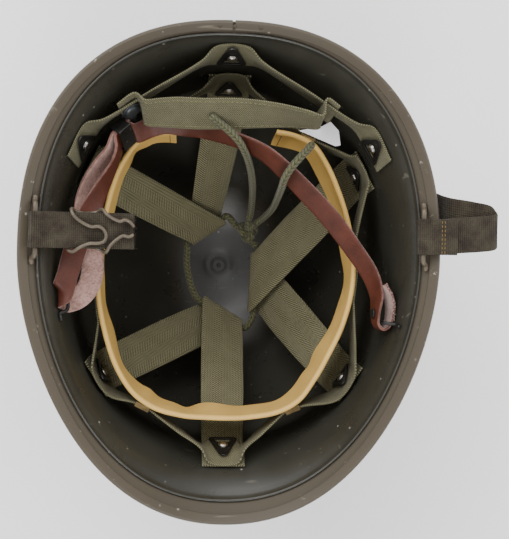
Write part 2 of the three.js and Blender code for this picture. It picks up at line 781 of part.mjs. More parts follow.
// Metal clips folded over the headband's upper edge, between it and the sweatband.
function sweatClip(clip) {
  const station = besideSweatband(clip.place, clipGap);
  const near = WEBBING / 2 + SEAT;
  const far = near + SWEAT_CLIP_SHEET;
  const top = HEADBAND_WIDTH / 2 + SEAT;
  const outline = [
    [far, top + SWEAT_CLIP_SHEET],
    [-far, top + SWEAT_CLIP_SHEET],
    [-far, top - SWEAT_CLIP_DEPTH],
    [-near, top - SWEAT_CLIP_DEPTH],
    [-near, top],
    [near, top],
    [near, top - SWEAT_CLIP_DEPTH],
    [far, top - SWEAT_CLIP_DEPTH],
  ];
  const z = vec(0, 0, 0).crossVectors(station.out, vec(0, 0, 1));
  return plate(outline, [], SWEAT_CLIP_LENGTH, {
    x: station.out,
    y: vec(0, 0, 1),
    z,
    point: station.at.clone().addScaledVector(z, -SWEAT_CLIP_LENGTH / 2),
  });
}
for (const clip of SWEAT_CLIPS) add(`sweatband_clip_${clip.name}`, sweatClip(clip), "nickel");

// Nape strap: one webbing from the left clip over the centre one to the right one.
function napeStations() {
  const [left, centre, right] = NAPE_CLIPS.map((clip) => clipPlane(clip, layers(clip).last));
  const along = (seat, by) => ({
    at: seat.point.clone().addScaledVector(seat.around, by),
    across: seat.up,
    through: seat.inward,
    width: NAPE_WEB_WIDTH,
  });
  return [
    along(left, -NAPE_TAB),
    along(left, CLIP_WIDTH / 2 + 1),
    along(centre, -CLIP_WIDTH / 2 - 1),
    along(centre, CLIP_WIDTH / 2 + 1),
    along(right, -CLIP_WIDTH / 2 - 1),
    along(right, NAPE_TAB),
  ];
}
const NAPE = napeStations();
add("nape_strap", strap(NAPE, WEBBING), "webbing");

// A place beside one arm of the nape strap, by its share of the way and its distance inwards.
function besideArm(from, to, share, off) {
  const run = NAPE[to].at.clone().sub(NAPE[from].at).normalize();
  const across = NAPE[from].across.clone().lerp(NAPE[to].across, share);
  across.addScaledVector(run, -across.dot(run)).normalize();
  const inward = vec(0, 0, 0).crossVectors(across, run).normalize();
  if (inward.dot(NAPE[from].at) > 0) inward.negate();
  const at = NAPE[from].at.clone().lerp(NAPE[to].at, share).addScaledVector(inward, off);
  return { at, across, run, inward };
}

// Nape band: from the snap on the left arm to its stitched end on the right arm. Rows are shares as
// in spot(), and lean is how far the band lies back from standing on edge, in degrees.
const NAPE_BAND = [
  { across: -0.421, back: 0.625, up: 0.9, lean: 32 },
  { across: -0.354, back: 0.626, up: 0.888, lean: 38 },
  { across: -0.269, back: 0.630, up: 0.878, lean: 43 },
  { across: -0.133, back: 0.628, up: 0.878, lean: 44 },
  { across: 0.017, back: 0.631, up: 0.878, lean: 42 },
  { across: 0.154, back: 0.631, up: 0.878, lean: 35 },
  { across: 0.267, back: 0.627, up: 0.878, lean: 27 },
  { across: 0.368, back: 0.616, up: 0.878, lean: 19 },
  { across: 0.444, back: 0.608, up: 0.878, lean: 13 },
];
const ARM_OFF = WEBBING + SEAT;
const SNAP_SHARE = 0.31;
const STITCH_SHARE = 0.71;
function napeBand() {
  const onArm = (from, to, share, raised) => {
    const { at, across } = besideArm(from, to, share, ARM_OFF);
    return { at: at.addScaledVector(across, raised), across, width: NAPE_BAND_WIDTH };
  };
  const armLength = NAPE[1].at.distanceTo(NAPE[2].at);
  const reach = SNAP_RADIUS / armLength;
  return [
    onArm(1, 2, SNAP_SHARE - reach, 1),
    onArm(1, 2, SNAP_SHARE + reach * 0.9, 2.5),
    ...NAPE_BAND.map((row) => ({
      at: spot(row.across, row.back, row.up),
      across: vec(0, Math.sin(radians(row.lean)), Math.cos(radians(row.lean))),
      width: NAPE_BAND_WIDTH,
    })),
    onArm(3, 4, STITCH_SHARE - reach * 1.1, 0),
    onArm(3, 4, STITCH_SHARE + reach * 0.3, 0),
  ];
}
const BAND = napeBand();
add("nape_band", strap(BAND, WEBBING), "webbing");

// Snap: a grey cap on the band's face and a brass back behind the arm.
const snapSeat = besideArm(1, 2, SNAP_SHARE, ARM_OFF + WEBBING / 2 + SEAT);
const snapBack = besideArm(1, 2, SNAP_SHARE, -WEBBING / 2 - SEAT);
add("nape_snap", domedHead(snapSeat.at, snapSeat.inward, SNAP_RADIUS, SNAP_RISE), "cap");
const outwards = snapBack.inward.clone().negate();
add("nape_snap_back", domedHead(snapBack.at, outwards, SNAP_RADIUS * 0.8, SNAP_RISE * 0.5), "brass");

// Blank tag: a small sheet under the band's right end.
function tag() {
  const end = BAND.at(-1);
  const low = end.at.clone().addScaledVector(end.across, -NAPE_BAND_WIDTH / 2);
  const outline = [
    [-17, -4.5],
    [-3.5, -1.6],
    [1.5, 1.2],
    [6.6, -4],
    [8, -12.5],
    [5, -13.2],
  ];
  const tilt = radians(10);
  return plate(outline, [], TAG_SHEET, {
    x: vec(1, 0, 0),
    y: vec(0, Math.cos(tilt), Math.sin(tilt)),
    z: vec(0, -Math.sin(tilt), Math.cos(tilt)),
    point: low.add(vec(0, 0, -TAG_SHEET - SEAT - 0.3)),
  });
}
add("tag", tag(), "white");

// Leather chin strap

// Its middle from the riveted end at the right wall, rearwards under the nape band, through the
// buckle at the left rear, round the left wall's loop and back. Lean is how far it lies back from
// standing on edge, in degrees: 90 is flat with the smooth face up, -90 flat with it down.
const CHIN_STRAP = [
  { across: 0.761, back: -0.070, up: 0.872, lean: -12 },
  { across: 0.797, back: -0.123, up: 0.868, lean: -12 },
  { across: 0.806, back: -0.179, up: 0.866, lean: -12 },
  { across: 0.804, back: -0.226, up: 0.864, lean: -10 },
  { across: 0.767, back: -0.244, up: 0.864, lean: 0 },
  { across: 0.737, back: -0.226, up: 0.864, lean: 4 },
  { across: 0.732, back: -0.183, up: 0.863, lean: 12 },
  { across: 0.738, back: -0.117, up: 0.858, lean: 26 },
  { across: 0.71, back: -0.035, up: 0.84, lean: 40 },
  { across: 0.623, back: 0.073, up: 0.836, lean: 48 },
  { across: 0.549, back: 0.157, up: 0.836, lean: 54 },
  { across: 0.466, back: 0.238, up: 0.836, lean: 54 },
  { across: 0.379, back: 0.315, up: 0.832, lean: 52 },
  { across: 0.29, back: 0.391, up: 0.825, lean: 46 },
  { across: 0.178, back: 0.474, up: 0.811, lean: 38 },
  { across: 0.055, back: 0.525, up: 0.795, lean: 34 },
  { across: -0.06, back: 0.555, up: 0.784, lean: 34 },
  { across: -0.145, back: 0.573, up: 0.779, lean: 38 },
  { across: -0.222, back: 0.584, up: 0.799, lean: 58 },
  { across: -0.321, back: 0.592, up: 0.81, lean: 62 },
  { across: -0.396, back: 0.576, up: 0.803, lean: 60 },
  { across: -0.466, back: 0.549, up: 0.813, lean: 50 },
  { across: -0.52, back: 0.534, up: 0.83, lean: 32 },
  { across: -0.547, back: 0.480, up: 0.836, lean: 16 },
  { across: -0.565, back: 0.418, up: 0.848, lean: 14 },
  { across: -0.641, back: 0.281, up: 0.8808, lean: 40 },
  { across: -0.678, back: 0.204, up: 0.8895, lean: 66 },
  { across: -0.714, back: 0.123, up: 0.8983, lean: 84 },
  { across: -0.748, back: 0.041, up: 0.9041, lean: 80 },
  { across: -0.779, back: -0.050, up: 0.9099, lean: 66 },
  { across: -0.802, back: -0.102, up: 0.918, lean: 84 },
  { across: -0.828, back: -0.128, up: 0.9093, fold: true },
  { across: -0.842, back: -0.139, up: 0.8953, fold: true },
  { across: -0.833, back: -0.146, up: 0.877, fold: true },
  { across: -0.792, back: -0.154, up: 0.875, lean: -86 },
  { across: -0.733, back: -0.140, up: 0.8721, lean: -82 },
  { across: -0.685, back: -0.099, up: 0.8674, lean: -80 },
  { across: -0.665, back: -0.037, up: 0.8634, lean: -80 },
  { across: -0.671, back: 0.040, up: 0.8605, lean: -85 },
  { across: -0.691, back: 0.124, up: 0.8581, lean: -86 },
  { across: -0.707, back: 0.207, up: 0.8547, lean: -72 },
  { across: -0.701, back: 0.281, up: 0.8488, lean: -48 },
  { across: -0.672, back: 0.353, up: 0.8430, lean: -38 },
  { across: -0.633, back: 0.416, up: 0.8384, lean: -30 },
  { across: -0.587, back: 0.470, up: 0.8349, lean: -28 },
];
const BUCKLE_ROW = 22;

function strapStations(rows, width) {
  const places = rows.map((row) => spot(row.across, row.back, row.up));
  return rows.map((row, i) => {
    const run = places[Math.min(i + 1, rows.length - 1)].clone().sub(places[Math.max(i - 1, 0)]);
    const aside = vec(run.y, -run.x, 0).normalize();
    const lean = radians(row.lean ?? 0);
    const across = row.fold
      ? vec(0, 1, 0)
      : vec(0, 0, Math.cos(lean)).addScaledVector(aside, Math.sin(lean));
    run.normalize();
    across.addScaledVector(run, -across.dot(run)).normalize();
    return { at: places[i], across, width, run, face: vec(0, 0, 0).crossVectors(across, run) };
  });
}

// How far a point stands off the liner's inner face, and the way inwards from there.
function wallRoom(point) {
  let best = { far: Infinity };
  for (let turn = 0; turn < 360; turn += 2) {
    const wall = onLiner(turn, point.z);
    const far = wall.point.distanceTo(point);
    if (far < best.far) best = { far, wall };
  }
  const inward = vec(best.wall.inward.x, best.wall.inward.y, 0).normalize();
  return { inward, room: point.clone().sub(best.wall.point).dot(inward) };
}

// A station that would run into the wall moves in until it clears it.
function clearOfWall(station, thickness) {
  let push = { by: 0 };
  for (const [along, off] of [[0.5, 0.5], [0.5, -0.5], [-0.5, 0.5], [-0.5, -0.5]]) {
    const corner = station.at.clone()
      .addScaledVector(station.across, along * station.width)
      .addScaledVector(station.face, off * thickness);
    const { inward, room } = wallRoom(corner);
    const by = 2 * SEAT - room;
    if (by > push.by) push = { by, inward };
  }
  if (push.by === 0) return station;
  return { ...station, at: station.at.clone().addScaledVector(push.inward, push.by) };
}

// The returning run ends under the buckle, against the outgoing one.
function chinStations() {
  const stations = strapStations(CHIN_STRAP, STRAP_WIDTH)
    .map((station) => clearOfWall(station, STRAP_LEATHER));
  const buckle = stations[BUCKLE_ROW];
  const along = (off, by) => ({
    ...buckle,
    at: buckle.at.clone().addScaledVector(buckle.face, off).addScaledVector(buckle.run, by),
  });
  const reach = BUCKLE_LENGTH / 2 + 1;
  const under = -(STRAP_LEATHER + 2 * SEAT);
  const straight = [along(0, -reach), along(0, reach)];
  const ends = [along(under, reach + 0.5), along(under, -reach - 2)];
  return [...stations.slice(0, BUCKLE_ROW), ...straight, ...stations.slice(BUCKLE_ROW + 1), ...ends];
}
const CHIN = chinStations();
add("chin_strap", strap(CHIN, STRAP_LEATHER), "brown");

// Buckle: a flat collar round both layers.
function chinBuckle() {
  const station = strapStations(CHIN_STRAP, STRAP_WIDTH)[BUCKLE_ROW];
  const halfWide = STRAP_WIDTH / 2 + SEAT;
  const top = STRAP_LEATHER / 2 + SEAT;
  const low = -STRAP_LEATHER * 1.5 - 3 * SEAT;
  const axis = vec(0, 0, 0).crossVectors(station.across, station.face);
  const frame = (grow) => [
    [-halfWide - grow, low - grow],
    [halfWide + grow, low - grow],
    [halfWide + grow, top + grow],
    [-halfWide - grow, top + grow],
  ];
  return plate(frame(BUCKLE_SHEET), [frame(0).reverse()], BUCKLE_LENGTH, {
    x: station.across,
    y: station.face,
    z: axis,
    point: station.at.clone().addScaledVector(axis, -BUCKLE_LENGTH / 2),
  });
}
add("chin_buckle", chinBuckle(), "black");

const rivetStation = CHIN[6];
add("chin_rivet", domedHead(
  rivetStation.at.clone().addScaledVector(rivetStation.face, STRAP_LEATHER / 2 + SEAT * 1.6),
  rivetStation.face, RIVET_RADIUS, RIVET_RISE), "black");

// Wall loops that the strap's ends go round: wires with both feet against the liner.
function wallLoop(middle, axis, half) {
  const foot = (side, reach) => {
    const point = middle.clone().addScaledVector(axis, side * reach);
    let best = null;
    for (let turn = 0; turn < 360; turn += 0.5) {
      const seat = onLiner(turn, point.z, HOOK_WIRE / 2 + SEAT);
      const far = seat.point.distanceTo(point);
      if (!best || far < best.far) best = { far, point: seat.point };
    }
    return best.point;
  };
  const inner = (side) => middle.clone().addScaledVector(axis, side * (half - HOOK_WIRE));
  const leg = (side) => [inner(side), foot(side, half), foot(side, half + 4)];
  return [...leg(-1).reverse(), middle, ...leg(1)];
}

const betweenRows = (a, b) => CHIN[a].at.clone().add(CHIN[b].at).multiplyScalar(0.5);
const rightFold = betweenRows(3, 5).add(vec(0, 1.2, 0));
const leftFold = betweenRows(32, 34).add(vec(2.2, 0, 0));
const rightLoop = wallLoop(rightFold, vec(0, 0, 1), STRAP_WIDTH / 2 + 3);
const leftLoop = wallLoop(leftFold, vec(0, 1, 0), STRAP_WIDTH / 2 + 3);
add("chin_loop_right", tube(rightLoop, HOOK_WIRE, WIRE_SIDES, 18), "nickel");
add("chin_loop_left", tube(leftLoop, HOOK_WIRE, WIRE_SIDES, 18), "nickel");

// Web chin straps on the pot

// Fixed wire loops on the flange inside the rim, and the bar that the webbing goes round.
const BALE_BACK = 17;
const BALE_PLACE = RIM - 0.6;
const BALE_FOOT = 5;
const wrap = BALE_WIRE / 2 + SEAT + CHIN_WEB / 2;
const BALE_RISE = CHIN_WEB + 2 * SEAT + 1.2 + BALE_WIRE / 2;

// The flange's inner face at a distance to the rear, on one side, lifted off it.
function flange(side, back, lift) {
  let low = 20;
  let high = 160;
  for (let i = 0; i < 30; i++) {
    const middle = (low + high) / 2;
    if (inside(middle, BALE_PLACE, STEEL + lift).y > back) low = middle;
    else high = middle;
  }
  const point = inside(low, BALE_PLACE, STEEL + lift);
  return point.setX(side * point.x);
}

function bale(side) {
  const low = BALE_WIRE / 2 + SEAT;
  const bar = flange(side, BALE_BACK, BALE_RISE);
  const at = (by, lift) => {
    if (lift === low) return flange(side, BALE_BACK + by, low);
    return vec(bar.x, bar.y + by, bar.z);
  };
  const half = BALE_SPAN / 2;
  const points = [
    at(-half - BALE_FOOT, low),
    at(-half - 1.6, low),
    at(-half + 0.4, BALE_RISE),
    at(-half / 2, BALE_RISE),
    at(half / 2, BALE_RISE),
    at(half - 0.4, BALE_RISE),
    at(half + 1.6, low),
    at(half + BALE_FOOT, low),
  ];
  return tube(points, BALE_WIRE, WIRE_SIDES, 24);
}
add("left_bale", bale(-1), "wire");
add("right_bale", bale(1), "wire");

// Stations of a web strap from its middle line in x and z. The strap lies across the helmet's length.
function webStations(points, backAt) {
  return points.map(([x, z], i) => ({
    at: vec(x, backAt(i), z),
    across: vec(0, 1, 0),
    width: CHIN_WEB_WIDTH,
  }));
}

// Points round a bale's bar, from below to above, on the side away from the helmet's middle.
function roundBar(bar, side, fromBelow) {
  const points = [];
  for (let i = 0; i <= 4; i++) {
    const angle = radians(-90 + i * 45);
    points.push([bar.x + side * wrap * Math.cos(angle), bar.z + wrap * Math.sin(angle)]);
  }
  return fromBelow ? points : points.reverse();
}

// Left: round the bar and out over the opening. Its lengths are measured from the bar.
const LEFT_WEB_REACH = 54;
const LEFT_WEB_DOUBLED = 13;
const LEFT_WEB_DROP = 7;
const leftBar = flange(-1, BALE_BACK, BALE_RISE);
const leftTop = (x) => leftBar.z + wrap - LEFT_WEB_DROP * ((x - leftBar.x) / LEFT_WEB_REACH) ** 2;
function leftWeb() {
  const far = leftBar.x + LEFT_WEB_REACH;
  const under = leftBar.z - wrap;
  const points = [
    [leftBar.x + LEFT_WEB_DOUBLED, under + 0.2],
    [leftBar.x + LEFT_WEB_DOUBLED / 2, under],
    ...roundBar(leftBar, -1, true),
  ];
  for (let i = 1; i <= 6; i++) {
    const x = leftBar.x + ((far - leftBar.x) * i) / 6;
    points.push([x, leftTop(x)]);
  }
  return strap(webStations(points, () => BALE_BACK), CHIN_WEB);
}
add("left_web_strap", leftWeb(), "strapWeb");

// The wire hook is one wire that holds the strap's free end: it crosses the top in an arch, goes under
// the strap at both edges, and its two arms meet at the tip. Rows are millimetres from the bar and from
// the strap's middle, and side is 1 on the strap, -1 under it and 0 beside it.
const HOOK = [
  { x: 54.4, y: 2.2, side: 1 },
  { x: 52, y: 5, side: 1 },
  { x: 49.2, y: 6.2, side: 1 },
  { x: 46.6, y: 5.4, side: 1 },
  { x: 43, y: 6.6, side: 1 },
  { x: 39, y: 9.2, side: 1 },
  { x: 36.6, y: 11.8, side: 0 },
  { x: 33.6, y: 10.4, side: -1 },
  { x: 27.4, y: 9.4, side: -1 },
  { x: 22.4, y: 10.4, side: -1 },
  { x: 20, y: 11.8, side: 0 },
  { x: 20.8, y: 8.8, side: 1 },
  { x: 24.4, y: 5.2, side: 1 },
  { x: 31, y: 2, side: 1 },
  { x: 35, y: 2.2, side: 1 },
  { x: 37.6, y: 0.6, side: 1 },
  { x: 39, y: -2.6, side: 1 },
  { x: 38, y: -5.8, side: 1 },
  { x: 34.6, y: -7, side: 1 },
  { x: 30, y: -7.2, side: 1 },
  { x: 25, y: -9.4, side: 1 },
  { x: 20.6, y: -11.9, side: 0 },
  { x: 18, y: -10.4, side: -1 },
  { x: 22, y: -8.6, side: -1 },
  { x: 30, y: -8.8, side: -1 },
  { x: 36, y: -10.4, side: -1 },
  { x: 38.8, y: -11.9, side: 0 },
  { x: 41, y: -8.6, side: 1 },
  { x: 44, y: -5.4, side: 1 },
  { x: 48.2, y: -2.6, side: 1 },
  { x: 51.8, y: -3, side: 1 },
  { x: 54.2, y: -1.4, side: 1 },
];
function hook() {
  const off = CHIN_WEB / 2 + 2 * SEAT + HOOK_WIRE / 2 + 0.2;
  const points = HOOK.map((row) => {
    const x = leftBar.x + row.x;
    const middle = leftTop(Math.min(x, leftBar.x + LEFT_WEB_REACH)) + SEAT;
    return vec(x, BALE_BACK + row.y, middle + row.side * off);
  });
  return tube(points, HOOK_WIRE, WIRE_SIDES, 56);
}
add("left_hook", hook(), "wire");

// Right: stitched round the bar, out over the rim, folded, and hanging down beside the pot.
const RIGHT_WEB_REACH = 32;
const RIGHT_WEB_DOUBLED = 9;
const RIGHT_WEB_HANG = 112;
const RIGHT_WEB_SWING = 13;
function rightWeb() {
  const bar = flange(1, BALE_BACK, BALE_RISE);
  const edge = rimEdge(90);
  const rimTop = edge.at.z + STEEL / 2 + 2 * SEAT + EDGING_SHEET + 0.4;
  const over = rimTop + CHIN_WEB / 2 + 2.6 * SEAT;
  const layer = CHIN_WEB + SEAT;
  const out = HALF_WIDTH + RIGHT_WEB_REACH;
  const aside = HALF_WIDTH + SEAT * 2 + EDGING_SHEET + CHIN_WEB / 2 + 0.6;
  const points = [
    [HALF_WIDTH + RIGHT_WEB_DOUBLED, over + layer + 0.1],
    [HALF_WIDTH, over + layer + 0.3],
    [(HALF_WIDTH + bar.x) / 2, Math.max(over + layer - 0.2, bar.z + wrap)],
    ...roundBar(bar, -1, false),
    [bar.x + wrap * Math.sin(radians(25)), bar.z - wrap * Math.cos(radians(25))],
    [bar.x + wrap * Math.sin(radians(50)), bar.z - wrap * Math.cos(radians(50))],
    [HALF_WIDTH - 5.2, over - 0.1],
    [HALF_WIDTH, over],
    [HALF_WIDTH + 9, over + 0.1],
    [HALF_WIDTH + 22, over - 0.4],
    [out - 2, over - 1],
    [out, over - 2.2],
    [out - 2, over - 3.6],
    [HALF_WIDTH + 20, over - 5.4],
    [HALF_WIDTH + 8, over - 9],
    [aside + 0.8, over - 15],
    [aside, over - 24],
    [aside - 1, over - 60],
    [aside - 3, over - RIGHT_WEB_HANG],
  ];
  const folded = 15;
  const last = points.length - 1;
  const backAt = (i) => {
    if (i <= 11) return BALE_BACK;
    if (i <= folded) return BALE_BACK + (4 * (i - 11)) / (folded - 11);
    return BALE_BACK + 4 + RIGHT_WEB_SWING * Math.min(1, (1.4 * (i - folded)) / (last - folded)) ** 0.6 - 1;
  };
  const stations = webStations(points, backAt);
  return { stations, end: stations[last].at };
}
const RIGHT_WEB = rightWeb();
add("right_web_strap", strap(RIGHT_WEB.stations, CHIN_WEB), "strapWeb");

// Hidden clasp at its end, one plain piece.
function clasp() {
  const half = CHIN_WEB_WIDTH / 2 + 1.5;
  const outline = [
    [-half, 0],
    [-half, -CLASP_LENGTH + 5],
    [-half + 5, -CLASP_LENGTH],
    [half - 5, -CLASP_LENGTH],
    [half, -CLASP_LENGTH + 5],
    [half, 0],
  ];
  return plate(outline, [], CLASP_THICKNESS, {
    x: vec(0, 1, 0),
    y: vec(0, 0, 1),
    z: vec(1, 0, 0),
    point: RIGHT_WEB.end.clone().add(vec(-CLASP_THICKNESS / 2, 0, -SEAT)),
  });
}
add("right_strap_clasp", clasp(), "wire");

export default helmet;
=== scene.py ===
"""Dress the steel helmet: smooth pot, liner, webbing, laces, leather, wires and a plain stage."""
import math

import bpy
import numpy as np
from mathutils import Matrix, Vector
from mathutils.geometry import tessellate_polygon


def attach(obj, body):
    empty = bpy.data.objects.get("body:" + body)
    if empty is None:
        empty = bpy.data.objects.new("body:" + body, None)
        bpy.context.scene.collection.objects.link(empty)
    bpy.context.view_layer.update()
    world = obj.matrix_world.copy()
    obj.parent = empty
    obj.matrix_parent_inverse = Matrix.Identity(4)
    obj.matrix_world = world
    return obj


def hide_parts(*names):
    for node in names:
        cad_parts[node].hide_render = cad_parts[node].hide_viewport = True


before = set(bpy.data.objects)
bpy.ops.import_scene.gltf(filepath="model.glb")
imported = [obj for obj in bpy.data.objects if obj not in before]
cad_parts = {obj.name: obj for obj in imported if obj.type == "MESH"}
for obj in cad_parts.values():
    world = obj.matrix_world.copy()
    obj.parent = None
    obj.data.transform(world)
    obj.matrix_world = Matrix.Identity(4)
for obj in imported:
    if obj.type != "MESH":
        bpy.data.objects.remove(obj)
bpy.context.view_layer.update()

bl_info = {
    "name": "Steel Helmet",
    "version": (1, 0, 0),
    "blender": (4, 5, 0),
    "location": "3D View > Sidebar > Helmet",
    "description": "Builds the visible surfaces of a steel helmet lying on its crown",
    "category": "Object",
}

MM = 0.001

# The pot, its liner and its edging, from the part, in millimetres.
HALF_WIDTH, REAR_REACH, FRONT_REACH = 117.2, 136.7, 149.0
SIDE_DEPTH, REAR_DEPTH, FRONT_DEPTH = 172.0, 163.0, 150.0
WIDEST_BEHIND, STEEL = 5.0, 1.1
LINER_OUT, LINER_IN, LIP_BEAD = 1.7, 3.9, 0.9
EDGING_COVER, EDGING_SHEET, EDGING_SEAM, SEAT = 4.7, 0.7, 0.8, 0.3
# A row for each ring, from the crown to the rim: shares of the rear, side and front reach, then the
# oval's exponents at the rear, the cheeks and the visor.
RINGS = np.array([
    (0.062, 0.072, 0.057, 2, 2, 2),
    (0.24, 0.253, 0.227, 2, 2, 2),
    (0.399, 0.422, 0.378, 2.05, 2, 2),
    (0.538, 0.569, 0.509, 2.1, 2.05, 2.05),
    (0.65, 0.687, 0.615, 2.15, 2.1, 2.1),
    (0.728, 0.77, 0.689, 2.2, 2.2, 2.15),
    (0.782, 0.811, 0.73, 2.2, 2.35, 2.3),
    (0.812, 0.834, 0.757, 2.2, 2.35, 2.3),
    (0.858, 0.858, 0.798, 2.25, 2.2, 2.2),
    (0.908, 0.889, 0.857, 2.3, 2.08, 2.15),
    (0.964, 0.928, 0.927, 2.33, 1.95, 2.1),
    (1, 1, 1, 2.33, 1.86, 2.07),
])
# The same rings' shares of the rear, side and front depth.
RISES = np.array([
    (0, 0, 0), (0.031, 0.031, 0.031), (0.096, 0.095, 0.096), (0.19, 0.19, 0.191),
    (0.31, 0.31, 0.313), (0.45, 0.449, 0.453), (0.589, 0.588, 0.594), (0.663, 0.744, 0.707),
    (0.773, 0.837, 0.787), (0.865, 0.913, 0.867), (0.969, 0.965, 0.943), (1, 1, 1),
])
RIM = len(RINGS) - 1
LIP = RIM - 1

